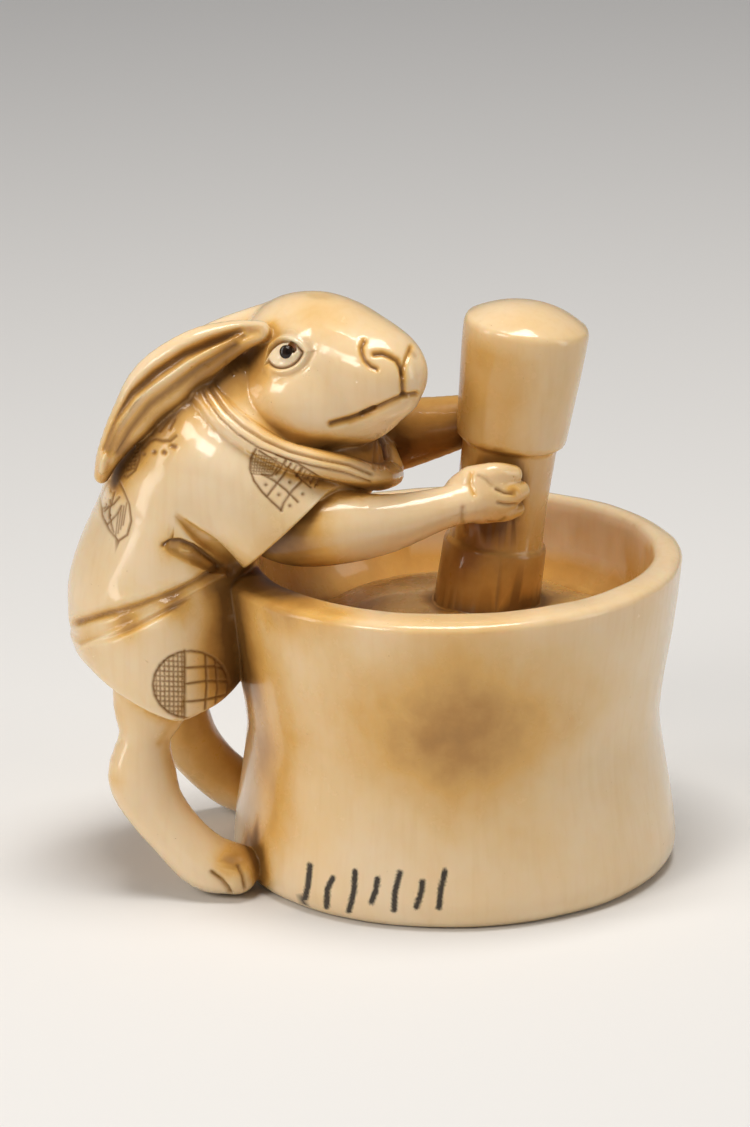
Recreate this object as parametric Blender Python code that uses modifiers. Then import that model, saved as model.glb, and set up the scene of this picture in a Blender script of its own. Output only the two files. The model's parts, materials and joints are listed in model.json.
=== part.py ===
"""Ivory netsuke: a rabbit in a short jacket pounds rice in a waisted mortar.

The figure, the mortar, the rice and the pestle are one carving. Two pupils of
dark horn are let into the eyes. The mortar's axis is Z, its underside is at
z = 0, and the rabbit stands on the -X side and faces +X.
"""
import math

import bmesh
import bpy
from mathutils import Matrix, Vector

# All sizes below are in millimetres and this turns them into metres
MM = 0.001

# Mortar, turned about Z
MORTAR_HEIGHT = 19.7
FOOT_RADIUS = 13.75
WAIST_RADIUS = 12.75
WAIST_HEIGHT = 9.3
RIM_RADIUS = 14.25
RIM_WIDTH = 2.0
RIM_ROUNDING = 0.5
LIP_BEVEL = 0.15
LIP_DEPTH = 1.0
FOOT_ROUNDING = 1.7
FOOT_TUCK = 1.0
WAIST_TIGHTNESS = 0.65
BOWL_FLOOR = 14.2
BOWL_WALL_FOOT = 1.3
BOWL_WALL_RISE = 2.2
TURNED_STEPS = 52

# Rice in the bowl
RICE_HEIGHT = 16.7
RICE_RADIUS = 9.3
RICE_SHOULDER = 0.62
RICE_SHOULDER_DROP = 0.25
RICE_EDGE_DROP = 1.7

# Pestle, turned about its own leaning axis
PESTLE_FOOT = (2.6, 0.0, 19.2)
PESTLE_LEAN = 8.8
PESTLE_TOP = 15.4
HEAD_LOWER_EDGE = 7.7
HEAD_TOP_RADIUS = 3.85
HEAD_LOWER_RADIUS = 3.4
HEAD_DOME = 1.1
HEAD_EDGE_BEVEL = 0.45
HEAD_TAPER_START = 1.6
GRIP_RADIUS = 2.9
GRIP_WAIST = 0.1
STEP_BEVEL = 0.3
LOWER_STEP = 1.35
LOWER_RADIUS = 3.15
PESTLE_SUNK = 4.5
PESTLE_STEPS = 32

# Cord holes in the underside, joined inside the mortar's foot
CORD_HOLE_RADIUS = 1.5
CORD_HOLE_SPACING = 9.0
CORD_HOLE_DEPTH = 4.0

# Horn pupils and the sockets that hold them
PUPIL_RADIUS = 0.42
PUPIL_DEPTH = 0.9
PUPIL_CLEARANCE = 0.12
PUPIL_PROUD = 0.05

# The figure's surface
SKIN_VOXEL = 0.31
SKIN_SMOOTHING = 2
SKIN_TRIANGLES = 4900

# Head: it is turned to the rabbit's right by this angle
HEAD_TURN = -42.0
HEAD_CENTRE = (-7.6, -1.2, 32.2)
EYE_CENTRE = (-9.42, -4.85, 34.35)
EYE_BALL_RADIUS = 1.25

# Body forms: each station is a centre, its half width in the figure's own
# plane, its half width across the figure and, where a section doesn't stand
# square to the path, the lean of its own axis from straight down
TORSO = [
    ((-8.6, -0.6, 29.0), 3.4, 4.2),
    ((-12.0, -0.2, 27.9), 4.8, 6.2),
    ((-15.1, 0.0, 25.4), 5.5, 6.9),
    ((-16.5, 0.0, 22.2), 5.2, 6.9),
    ((-17.6, 0.0, 18.8), 5.1, 6.5),
    ((-18.1, 0.0, 16.6), 5.5, 6.6),
]
SKIRT = [
    ((-17.7, 0.0, 18.3), 5.6, 6.9, 28.0),
    ((-18.0, 0.0, 16.8), 6.1, 7.2, 20.0),
    ((-18.2, -0.1, 14.7), 5.8, 7.4, 0.0),
    ((-18.0, -0.2, 13.4), 5.5, 7.3, -14.0),
]
HEM_BULGE = 1.3
CLOTH_EDGE = 0.25
NEAR_SLEEVE = [
    ((-15.0, -3.5, 28.0), 3.6, 3.2),
    ((-12.8, -4.6, 26.5), 3.8, 3.6),
    ((-10.3, -5.3, 23.9), 3.6, 3.4),
]
FAR_SLEEVE = [
    ((-14.6, 3.5, 27.8), 3.6, 3.2),
    ((-12.2, 4.6, 26.6), 3.8, 3.5),
    ((-9.4, 5.4, 24.9), 3.5, 3.3),
]
NEAR_ARM = [
    ((-12.0, -4.8, 24.0), 2.5, 2.4),
    ((-9.6, -5.4, 23.0), 2.5, 2.4),
    ((-6.8, -5.7, 23.3), 2.25, 2.2),
    ((-3.9, -5.4, 23.4), 1.8, 1.8),
    ((-0.7, -4.7, 24.0), 1.3, 1.35),
    ((1.2, -4.2, 24.3), 1.3, 1.3),
]
FAR_ARM = [
    ((-11.0, 5.0, 25.2), 2.5, 2.4),
    ((-7.4, 6.0, 24.8), 2.4, 2.3),
    ((-3.6, 5.2, 25.7), 2.3, 2.1),
    ((-0.4, 4.2, 26.6), 1.85, 1.7),
    ((1.6, 3.6, 27.2), 1.5, 1.4),
]
NEAR_LEG = [
    ((-18.0, -4.4, 14.2), 2.8, 2.3),
    ((-18.5, -4.8, 12.0), 2.3, 2.1),
    ((-18.9, -5.2, 10.1), 1.6, 1.6),
    ((-19.2, -5.4, 7.6), 2.1, 1.7),
    ((-18.5, -5.6, 5.7), 1.85, 1.6),
    ((-17.1, -5.9, 3.8), 1.7, 1.6),
    ((-15.4, -6.1, 2.1), 1.75, 1.9),
    ((-13.6, -6.2, 1.6), 1.5, 2.0),
]
FAR_LEG = [
    ((-17.4, 4.6, 14.0), 2.8, 2.3),
    ((-17.2, 5.2, 11.8), 2.2, 2.1),
    ((-17.1, 5.9, 9.6), 1.6, 1.6),
    ((-17.2, 6.4, 7.0), 2.0, 1.7),
    ((-16.3, 6.9, 5.0), 1.8, 1.6),
    ((-15.0, 7.4, 3.2), 1.7, 1.6),
    ((-13.7, 7.8, 2.0), 1.65, 1.8),
    ((-12.4, 8.0, 1.55), 1.45, 1.9),
]
NEAR_EAR = [
    ((-11.0, -3.1, 35.0), 1.1, 0.9),
    ((-12.9, -3.9, 34.9), 1.3, 1.0),
    ((-15.0, -4.5, 34.0), 1.6, 1.1),
    ((-17.4, -4.7, 32.3), 1.8, 1.15),
    ((-19.1, -4.4, 30.1), 1.7, 1.1),
    ((-20.2, -3.8, 27.8), 1.25, 0.9),
    ((-21.0, -3.3, 26.2), 0.6, 0.6),
]
FAR_EAR = [
    ((-9.6, 0.8, 34.9), 1.1, 0.9),
    ((-11.8, 2.1, 33.7), 1.3, 1.0),
    ((-14.2, 3.2, 32.2), 1.6, 1.1),
    ((-16.4, 4.0, 30.4), 1.8, 1.15),
    ((-18.2, 4.3, 28.2), 1.7, 1.1),
    ((-19.5, 4.0, 26.0), 1.25, 0.9),
    ((-20.2, 3.6, 24.5), 0.6, 0.6),
]
EAR_HOLLOW_SHARE = 0.52
EAR_HOLLOW_SHIFT = 0.75
COLLAR_PATH = [
    (-15.2, 0.0, 32.3),
    (-15.0, -3.4, 32.0),
    (-13.2, -6.0, 30.2),
    (-10.2, -6.9, 28.4),
    (-6.9, -5.9, 27.2),
    (-4.7, -3.6, 25.8),
    (-3.9, -0.6, 25.0),
]
COLLAR_HALF_WIDTH = 1.15
COLLAR_THICKNESS = 0.85
WAIST_FOLD = [
    (-23.6, -0.4, 15.6),
    (-22.0, -4.5, 16.6),
    (-19.5, -6.3, 18.0),
    (-17.0, -6.6, 18.9),
    (-14.8, -5.9, 19.7),
    (-12.8, -4.6, 20.5),
]
SLEEVE_FOLD = [
    (-16.4, -6.9, 24.5),
    (-15.3, -6.8, 23.4),
    (-14.4, -6.5, 22.5),
    (-13.0, -5.2, 20.8),
]
NAPE_CENTRE = (-14.3, -0.2, 30.3)
NAPE_SIZE = (4.8, 5.0, 3.5)
NAPE_PITCH = -38.0
CHEST_CENTRE = (-8.2, -1.0, 26.0)
CHEST_SIZE = (4.2, 4.8, 3.2)
# Head forms: place in the head (forward, to its left, up), half widths, pitch
HEAD_FORMS = [
    ("skull", (-0.8, 0.0, 0.1), (4.9, 4.2, 4.3), 0.0),
    ("brow", (2.2, 0.0, 1.1), (4.6, 3.3, 2.9), 16.0),
    ("muzzle", (4.7, 0.0, 0.4), (3.4, 2.85, 2.85), 0.0),
    ("cheek_near", (0.7, -1.7, -1.85), (3.9, 2.35, 2.75), 0.0),
    ("cheek_far", (0.7, 1.7, -1.85), (3.9, 2.35, 2.75), 0.0),
    ("jaw", (3.7, 0.0, -1.95), (3.4, 2.1, 1.9), -34.0),
]
# Head carving, as points of the head: forward, to its left, up
MOUTH_LINE = [
    (7.75, 0.0, -0.75),
    (7.35, -1.1, -0.8),
    (6.6, -1.85, -1.1),
    (5.5, -2.35, -1.6),
    (4.4, -2.75, -2.1),
    (3.5, -3.2, -2.4),
]
LIP_LINE = [
    (7.25, 0.0, 1.5),
    (7.75, 0.0, 0.4),
    (7.75, 0.0, -0.75),
]
NOSTRIL_LINE = [
    (7.25, 0.0, 1.5),
    (6.8, -1.0, 1.7),
    (6.0, -1.75, 1.8),
    (5.1, -1.8, 2.3),
]
CARVED_LINE = 0.3
FOLD_RADIUS = 0.4

PAW_SIZE = (2.4, 1.5, 1.75)
NEAR_PAW = (1.9, -3.7, 24.5)
FAR_PAW = (3.0, 3.6, 27.0)
FINGER_SIZE = (0.85, 0.9, 0.62)
FINGER_SPREAD = 1.05
FINGER_REACH = 2.0
FINGER_SPLAY = 0.25
FINGER_SIDE = 0.2

IVORY = (0.86, 0.72, 0.50, 1.0)
HORN = (0.03, 0.02, 0.015, 1.0)


def clear_scene():
    for old in list(bpy.data.objects):
        bpy.data.objects.remove(old, do_unlink=True)


def new_collection(name):
    group = bpy.data.collections.new(name)
    bpy.context.scene.collection.children.link(group)
    return group


def new_material(name, colour, roughness):
    material = bpy.data.materials.new(name)
    material.use_nodes = True
    shader = material.node_tree.nodes["Principled BSDF"]
    shader.inputs["Base Color"].default_value = colour
    shader.inputs["Roughness"].default_value = roughness
    shader.inputs["Metallic"].default_value = 0.0
    return material


def object_from_mesh(name, shape, group):
    """A new object from a bmesh, with its lengths turned into metres."""
    bmesh.ops.scale(shape, vec=(MM, MM, MM), verts=shape.verts)
    mesh = bpy.data.meshes.new(name)
    shape.to_mesh(mesh)
    shape.free()
    made = bpy.data.objects.new(name, mesh)
    group.objects.link(made)
    return made


def turned(name, outline, steps, group):
    """A closed body turned about Z from (radius, height) points, top first."""
    shape = bmesh.new()
    corners = [shape.verts.new((radius, 0.0, height)) for radius, height in outline]
    for upper, lower in zip(corners, corners[1:]):
        shape.edges.new((upper, lower))
    body = object_from_mesh(name, shape, group)
    screw = body.modifiers.new("turn", "SCREW")
    screw.axis = "Z"
    screw.steps = steps
    screw.render_steps = steps
    screw.use_merge_vertices = True
    screw.merge_threshold = 0.00001
    return body


def elliptical_loft(name, stations, group, sides=24, side_axis=(0.0, 1.0, 0.0),
                    end_bulge=None):
    """A limb through elliptical sections, with round ends or a given bulge."""
    centres = [Vector(station[0]) for station in stations]
    shape = bmesh.new()
    rings = []
    last = len(stations) - 1

    def ring(centre, along, wide, deep):
        across = Vector(side_axis)
        across = (across - along * across.dot(along)).normalized()
        upward = along.cross(across)
        turns = [2.0 * math.pi * step / sides for step in range(sides)]
        rings.append([
            shape.verts.new(centre + upward * (wide * math.cos(turn))
                            + across * (deep * math.sin(turn)))
            for turn in turns
        ])

    for index, (centre, wide, deep, *lean) in enumerate(stations):
        before = centres[max(index - 1, 0)]
        after = centres[min(index + 1, last)]
        along = (after - before).normalized()
        if lean:
            angle = math.radians(lean[0])
            along = Vector((math.sin(angle), 0.0, -math.cos(angle)))
        bulge = min(wide, deep)
        if index == 0:
            for angle in (75, 50, 25):
                share = math.cos(math.radians(angle))
                back = along * (bulge * math.sin(math.radians(angle)))
                ring(centres[0] - back, along, wide * share, deep * share)
        ring(centres[index], along, wide, deep)
        if index == last:
            bulge = bulge if end_bulge is None else end_bulge
            for angle in (25, 50, 75):
                share = math.cos(math.radians(angle))
                ahead = along * (bulge * math.sin(math.radians(angle)))
                ring(centres[index] + ahead, along, wide * share, deep * share)
    for first, second in zip(rings, rings[1:]):
        for step in range(sides):
            following = (step + 1) % sides
            shape.faces.new((first[step], first[following],
                             second[following], second[step]))
    shape.faces.new(list(reversed(rings[0])))
    shape.faces.new(rings[-1])
    bmesh.ops.recalc_face_normals(shape, faces=shape.faces)
    return object_from_mesh(name, shape, group)


def ellipsoid(name, centre, radii, group, turn=0.0, pitch=0.0):
    """A ball stretched along its own axes, pitched about Y, then turned."""
    shape = bmesh.new()
    bmesh.ops.create_uvsphere(shape, u_segments=28, v_segments=18, radius=1.0)
    place = (Matrix.Translation(centre)
             @ Matrix.Rotation(math.radians(turn), 4, "Z")
             @ Matrix.Rotation(math.radians(pitch), 4, "Y")
             @ Matrix.Diagonal((*radii, 1.0)))
    bmesh.ops.transform(shape, matrix=place, verts=shape.verts)
    return object_from_mesh(name, shape, group)


def along_head(forward, sideways, upward):
    """A point of the head: forward to the nose, sideways to its left."""
    turn = Matrix.Rotation(math.radians(HEAD_TURN), 3, "Z")
    return tuple(Vector(HEAD_CENTRE) + turn @ Vector((forward, sideways, upward)))


def boolean(target, tool, operation):
    step = target.modifiers.new(operation.lower(), "BOOLEAN")
    step.object = tool
    step.operation = operation
    step.solver = "EXACT"
    return step


def freeze(target):
    """Replace an object's mesh with the result of its modifiers."""
    view = bpy.context.evaluated_depsgraph_get()
    result = bpy.data.meshes.new_from_object(target.evaluated_get(view))
    target.modifiers.clear()
    target.data = result
    return target


def joined(name, parts, group):
    """One mesh that holds all the parts, still as separate shells."""
    shape = bmesh.new()
    for part in parts:
        shape.from_mesh(part.data)
    mesh = bpy.data.meshes.new(name)
    shape.to_mesh(mesh)
    shape.free()
    for part in parts:
        bpy.data.objects.remove(part, do_unlink=True)
    made = bpy.data.objects.new(name, mesh)
    group.objects.link(made)
    return made


def mark_as_cutter(tool):
    tool.hide_render = True
    tool.display_type = "WIRE"


def head_forms(group):
    forms = [ellipsoid(name, along_head(*place), radii, group, HEAD_TURN, pitch)
             for name, place, radii, pitch in HEAD_FORMS]
    return forms + [eye_ball("eye_right", -1.0, group), eye_ball("eye_left", 1.0, group)]


def eye_ball(name, side, group):
    place, outward = eye_frame(side)
    return ellipsoid(name, place - outward * EYE_BALL_RADIUS, (EYE_BALL_RADIUS,) * 3, group)


def paw_forms(name, centre, group, outward):
    """A paw and the small fingers that close round the grip."""
    forms = [ellipsoid(name, centre, PAW_SIZE, group)]
    for place in (-1.0, 0.0, 1.0):
        tip = (centre[0] + FINGER_REACH - FINGER_SPLAY * abs(place),
               centre[1] - outward * FINGER_SIDE,
               centre[2] + place * FINGER_SPREAD)
        forms.append(ellipsoid(name + "_finger", tip, FINGER_SIZE, group))
    return forms


def limb_forms(group):
    """The body and limbs; a cloth edge ends nearly flat."""
    limbs = [
        ("torso", TORSO, None), ("skirt", SKIRT, HEM_BULGE),
        ("near_sleeve", NEAR_SLEEVE, CLOTH_EDGE), ("far_sleeve", FAR_SLEEVE, CLOTH_EDGE),
        ("near_arm", NEAR_ARM, None), ("far_arm", FAR_ARM, None),
        ("near_leg", NEAR_LEG, None), ("far_leg", FAR_LEG, None),
        ("near_ear", NEAR_EAR, None), ("far_ear", FAR_EAR, None),
    ]
    return [elliptical_loft(name, stations, group, end_bulge=bulge)
            for name, stations, bulge in limbs]


def collar_form(group):
    """A band round the neck that meets itself below the chin."""
    near = [(point, COLLAR_HALF_WIDTH, COLLAR_THICKNESS) for point in COLLAR_PATH]
    far = [((x, -y, z), COLLAR_HALF_WIDTH, COLLAR_THICKNESS)
           for x, y, z in reversed(COLLAR_PATH)]
    upright = (0.0, 0.0, 1.0)
    return [elliptical_loft("collar_near", near, group, 16, upright),
            elliptical_loft("collar_far", far, group, 16, upright)]


def ear_hollow(name, stations, side, group):
    """The trough of an ear, which faces outward and up."""
    inner = []
    for (x, y, z), wide, deep in stations[1:-1]:
        shifted = (x - 0.25, y + side * EAR_HOLLOW_SHIFT * deep, z + 0.35)
        inner.append((shifted, wide * EAR_HOLLOW_SHARE, deep * EAR_HOLLOW_SHARE))
    return elliptical_loft(name, inner, group, 12)


def groove(name, path, radius, group):
    return elliptical_loft(name, [(point, radius, radius) for point in path], group, 10)


def face_lines(cutters):
    """The mouth, the split lip and the nostril creases, as one cutter."""
    lines = []
    for path, side in ((LIP_LINE, 1.0), (MOUTH_LINE, 1.0), (MOUTH_LINE, -1.0),
                       (NOSTRIL_LINE, 1.0), (NOSTRIL_LINE, -1.0)):
        points = [along_head(forward, side * sideways, up) for forward, sideways, up in path]
        lines.append(groove("face_line", points, CARVED_LINE, cutters))
    first = lines.pop(0)
    for line in lines:
        boolean(first, line, "UNION")
        freeze(first)
        bpy.data.objects.remove(line, do_unlink=True)
    mark_as_cutter(first)
    return first


def rabbit(parts, cutters):
    """The figure's rounded skin, before it is joined to the mortar."""
    forms = limb_forms(parts) + head_forms(parts) + collar_form(parts)
    forms.append(ellipsoid("chest", CHEST_CENTRE, CHEST_SIZE, parts))
    forms.append(ellipsoid("nape", NAPE_CENTRE, NAPE_SIZE, parts, 0.0, NAPE_PITCH))
    forms += paw_forms("near_paw", NEAR_PAW, parts, -1.0)
    forms += paw_forms("far_paw", FAR_PAW, parts, 1.0)
    skin = joined("rabbit", forms, parts)
    add_voxel_skin(skin)
    hollows = [
        ear_hollow("near_ear_hollow", NEAR_EAR, -1.0, cutters),
        ear_hollow("far_ear_hollow", FAR_EAR, 1.0, cutters),
        groove("waist_fold", WAIST_FOLD, FOLD_RADIUS, cutters),
        groove("sleeve_fold", SLEEVE_FOLD, FOLD_RADIUS, cutters),
    ]
    for hollow in hollows:
        boolean(skin, hollow, "DIFFERENCE")
        mark_as_cutter(hollow)
    freeze(skin)
    add_voxel_skin(skin)
    soften = skin.modifiers.new("soften", "SMOOTH")
    soften.factor = 0.5
    soften.iterations = SKIN_SMOOTHING
    freeze(skin)
    quads = len(skin.data.polygons)
    thin = skin.modifiers.new("thin", "DECIMATE")
    thin.ratio = min(1.0, SKIN_TRIANGLES / (2.0 * quads))
    return freeze(skin)


def add_voxel_skin(target):
    remesh = target.modifiers.new("skin", "REMESH")
    remesh.mode = "VOXEL"
    remesh.voxel_size = SKIN_VOXEL * MM


def waist_share(share):
    """How far the wall has drawn in: it eases off the rim and turns tightly at the waist."""
    eased = 0.5 - 0.5 * math.cos(math.pi * share)
    return (1.0 - WAIST_TIGHTNESS) * eased + WAIST_TIGHTNESS * share


def mortar(parts):
    """The waisted mortar with its bowl and the rice in it."""
    inner = RIM_RADIUS - RIM_WIDTH
    upper = MORTAR_HEIGHT - RIM_ROUNDING
    outline = [
        (0.0, RICE_HEIGHT), (RICE_RADIUS * RICE_SHOULDER, RICE_HEIGHT - RICE_SHOULDER_DROP),
        (RICE_RADIUS, RICE_HEIGHT - RICE_EDGE_DROP), (inner - BOWL_WALL_FOOT, BOWL_FLOOR),
        (inner - LIP_BEVEL, BOWL_FLOOR + BOWL_WALL_RISE), (inner, MORTAR_HEIGHT - LIP_DEPTH),
        (inner + LIP_BEVEL, upper), (inner + RIM_ROUNDING, MORTAR_HEIGHT),
        (RIM_RADIUS - RIM_ROUNDING, MORTAR_HEIGHT),
        (RIM_RADIUS - LIP_BEVEL, MORTAR_HEIGHT - LIP_BEVEL), (RIM_RADIUS, upper),
    ]
    for step in range(1, 6):
        share = step / 6
        outline.append((RIM_RADIUS + (WAIST_RADIUS - RIM_RADIUS) * waist_share(share),
                        upper + (WAIST_HEIGHT - upper) * share))
    for step in range(0, 4):
        share = step / 4
        outline.append((FOOT_RADIUS + (WAIST_RADIUS - FOOT_RADIUS) * waist_share(1.0 - share),
                        WAIST_HEIGHT + (FOOT_ROUNDING - WAIST_HEIGHT) * share))
    for step in range(0, 4):
        turn = math.pi / 2 * step / 3
        outline.append((FOOT_RADIUS - FOOT_TUCK * (1.0 - math.cos(turn)),
                        FOOT_ROUNDING * (1.0 - math.sin(turn))))
    outline.append((0.0, 0.0))
    return turned("mortar", outline, TURNED_STEPS, parts)


def pestle(parts):
    """The pestle, its lower head sunk in the rice."""
    dome_radius = HEAD_TOP_RADIUS - HEAD_EDGE_BEVEL / 2
    outline = [(0.0, PESTLE_TOP + HEAD_DOME)]
    for step in range(1, 5):
        share = step / 5
        outline.append((dome_radius * share, PESTLE_TOP + HEAD_DOME * (1.0 - share ** 2)))
    outline += [
        (dome_radius, PESTLE_TOP), (HEAD_TOP_RADIUS, PESTLE_TOP - HEAD_EDGE_BEVEL),
        (HEAD_TOP_RADIUS, PESTLE_TOP - HEAD_TAPER_START),
        (HEAD_LOWER_RADIUS, HEAD_LOWER_EDGE + STEP_BEVEL),
        (HEAD_LOWER_RADIUS - STEP_BEVEL, HEAD_LOWER_EDGE),
        (GRIP_RADIUS, HEAD_LOWER_EDGE - GRIP_WAIST),
        (GRIP_RADIUS - GRIP_WAIST, (HEAD_LOWER_EDGE + LOWER_STEP) / 2),
        (GRIP_RADIUS, LOWER_STEP + GRIP_WAIST), (LOWER_RADIUS - GRIP_WAIST, LOWER_STEP),
        (LOWER_RADIUS, LOWER_STEP - STEP_BEVEL), (LOWER_RADIUS, -PESTLE_SUNK),
        (0.0, -PESTLE_SUNK),
    ]
    body = turned("pestle", outline, PESTLE_STEPS, parts)
    freeze(body)
    place = (Matrix.Translation(Vector(PESTLE_FOOT) * MM)
             @ Matrix.Rotation(math.radians(PESTLE_LEAN), 4, "Y"))
    body.data.transform(place)
    return body


def cord_hole(cutters):
    """One channel, bent in an arch, that opens twice in the underside."""
    stations = []
    for step in range(0, 11):
        turn = math.radians(-24.0 + 228.0 * step / 10)
        point = (-CORD_HOLE_SPACING / 2 * math.cos(turn), 0.0, CORD_HOLE_DEPTH * math.sin(turn))
        stations.append((point, CORD_HOLE_RADIUS, CORD_HOLE_RADIUS))
    hole = elliptical_loft("cord_hole", stations, cutters, 12)
    mark_as_cutter(hole)
    return hole


def pupil(name, side, parts, clearance):
    """A short horn peg along the eye's outward direction."""
    place, outward = eye_frame(side)
    shape = bmesh.new()
    bmesh.ops.create_cone(shape, cap_ends=True, segments=20,
                          radius1=PUPIL_RADIUS + clearance, radius2=PUPIL_RADIUS + clearance,
                          depth=PUPIL_DEPTH + clearance)
    turn = outward.to_track_quat("Z", "Y").to_matrix().to_4x4()
    centre = place + outward * (PUPIL_PROUD - (PUPIL_DEPTH - clearance) / 2)
    bmesh.ops.transform(shape, matrix=Matrix.Translation(centre) @ turn, verts=shape.verts)
    return object_from_mesh(name, shape, parts)


def eye_frame(side):
    """Where an eye's ball ends and the way it looks; side -1 is the near eye."""
    turn = Matrix.Rotation(math.radians(HEAD_TURN), 3, "Z")
    near = turn.inverted() @ (Vector(EYE_CENTRE) - Vector(HEAD_CENTRE))
    local = Vector((near.x, near.y * -side, near.z))
    outward = turn @ Vector((0.25, side, 0.2)).normalized()
    return Vector(HEAD_CENTRE) + turn @ local, outward


def main():
    clear_scene()
    parts = new_collection("rabbit_netsuke")
    cutters = new_collection("cutters")
    ivory = new_material("ivory", IVORY, 0.28)
    horn = new_material("horn", HORN, 0.2)

    carving = rabbit(parts, cutters)
    carving.name = "rabbit_and_mortar"
    vessel = freeze(mortar(parts))
    stick = pestle(parts)
    boolean(vessel, stick, "UNION")
    freeze(vessel)
    bpy.data.objects.remove(stick, do_unlink=True)
    boolean(carving, vessel, "UNION")
    freeze(carving)
    bpy.data.objects.remove(vessel, do_unlink=True)
    boolean(carving, cord_hole(cutters), "DIFFERENCE")
    boolean(carving, face_lines(cutters), "DIFFERENCE")
    carving.data.materials.clear()
    carving.data.materials.append(ivory)
    carving.data.shade_smooth()

    for name, side in (("pupil_right", -1.0), ("pupil_left", 1.0)):
        socket = pupil(name + "_socket", side, cutters, PUPIL_CLEARANCE)
        mark_as_cutter(socket)
        boolean(carving, socket, "DIFFERENCE")
        horn_peg = pupil(name, side, parts, 0.0)
        horn_peg.data.materials.append(horn)


main()
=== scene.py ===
"""Looks of an ivory netsuke: a rabbit in a short jacket pounds rice in a waisted mortar.

Lengths are in millimetres until a mesh is made. The mortar's axis is Z, the
rabbit stands on the -X side and the camera looks along +Y.
"""
import json
import math

import bmesh
import bpy
import numpy as np
import openvdb
from mathutils import Matrix, Quaternion, Vector

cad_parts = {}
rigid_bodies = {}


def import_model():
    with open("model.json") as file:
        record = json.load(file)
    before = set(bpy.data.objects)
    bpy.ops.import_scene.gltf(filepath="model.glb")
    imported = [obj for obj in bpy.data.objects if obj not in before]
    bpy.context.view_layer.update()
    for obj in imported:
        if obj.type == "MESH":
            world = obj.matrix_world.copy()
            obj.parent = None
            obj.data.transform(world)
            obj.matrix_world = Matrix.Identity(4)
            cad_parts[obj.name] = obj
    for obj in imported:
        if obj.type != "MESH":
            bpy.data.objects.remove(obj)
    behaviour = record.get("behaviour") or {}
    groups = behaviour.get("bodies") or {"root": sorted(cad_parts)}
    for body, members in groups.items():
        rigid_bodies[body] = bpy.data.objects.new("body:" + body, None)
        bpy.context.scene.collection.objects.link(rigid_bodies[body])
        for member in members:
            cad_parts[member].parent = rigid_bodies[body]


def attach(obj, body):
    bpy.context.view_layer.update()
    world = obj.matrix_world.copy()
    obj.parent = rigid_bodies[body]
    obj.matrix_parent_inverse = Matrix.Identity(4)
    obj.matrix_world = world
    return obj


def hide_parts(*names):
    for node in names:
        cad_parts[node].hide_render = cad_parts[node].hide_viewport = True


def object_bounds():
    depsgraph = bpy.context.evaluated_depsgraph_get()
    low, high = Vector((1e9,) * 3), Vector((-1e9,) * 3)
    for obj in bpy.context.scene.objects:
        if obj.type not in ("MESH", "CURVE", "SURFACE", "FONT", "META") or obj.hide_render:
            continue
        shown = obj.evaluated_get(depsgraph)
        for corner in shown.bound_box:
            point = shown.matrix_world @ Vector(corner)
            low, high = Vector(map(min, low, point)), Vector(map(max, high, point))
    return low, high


for old in list(bpy.data.objects):
    bpy.data.objects.remove(old, do_unlink=True)
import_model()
cad_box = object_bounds()

MM = 0.001
FAR = 9.0
EDGE = 0.15
GRID_STEP = 0.125
GRID_LOW = (-24.4, -15.0, -1.0)
GRID_HIGH = (15.0, 15.0, 37.6)
BASE_TRIANGLES = 47000
SLIVER_HEIGHT = 0.05

# Camera, and the size of its picture in pixels
TARGET = Vector((-4.64, 0.0, 19.1006))
ELEVATION = math.radians(18.0)
ROLL = math.radians(-1.2)
DISTANCE = 400.0
PICTURE = (750.0, 1127.0)
PIXELS_PER_MM = 16.26

# Mortar, turned about Z
MORTAR_HEIGHT = 19.7
FOOT_RADIUS = 13.75
WAIST_RADIUS = 12.75
WAIST_HEIGHT = 9.3
RIM_RADIUS = 14.25
RIM_WIDTH = 2.0
BOWL_CENTRE = (0.35, 0.75, 0.0)
BOWL_FLOOR = 14.2
RICE_HEIGHT = 16.7
RICE_RADIUS = 9.3

# Pestle, turned about its own leaning axis
PESTLE_FOOT = (2.6, 0.0, 19.2)
PESTLE_LEAN = 8.8
PESTLE_TOP = 15.4
HEAD_LOWER_EDGE = 7.7
HEAD_TOP_RADIUS = 3.85
HEAD_LOWER_RADIUS = 3.4
HEAD_DOME = 1.1
GRIP_RADIUS = 2.9
LOWER_STEP = 1.35
LOWER_RADIUS = 3.15
PESTLE_SUNK = 4.5

CORD_HOLE_RADIUS = 1.5
CORD_HOLE_SPACING = 9.0
CORD_HOLE_DEPTH = 4.0

# Head, turned to the rabbit's right
HEAD_TURN = -42.0
HEAD_CENTRE = (-7.6, -1.2, 32.2)
EYE_CENTRE = (-9.42, -4.85, 34.35)
EYE_LENGTH = 1.26
EYE_HEIGHT = 0.8
PUPIL_RADIUS = 0.42
EYE_TILT = math.radians(15.0)
EYE_SHIFT = (-0.55, -0.3)
PUPIL_SHIFT = (0.1, 0.12)

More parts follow.
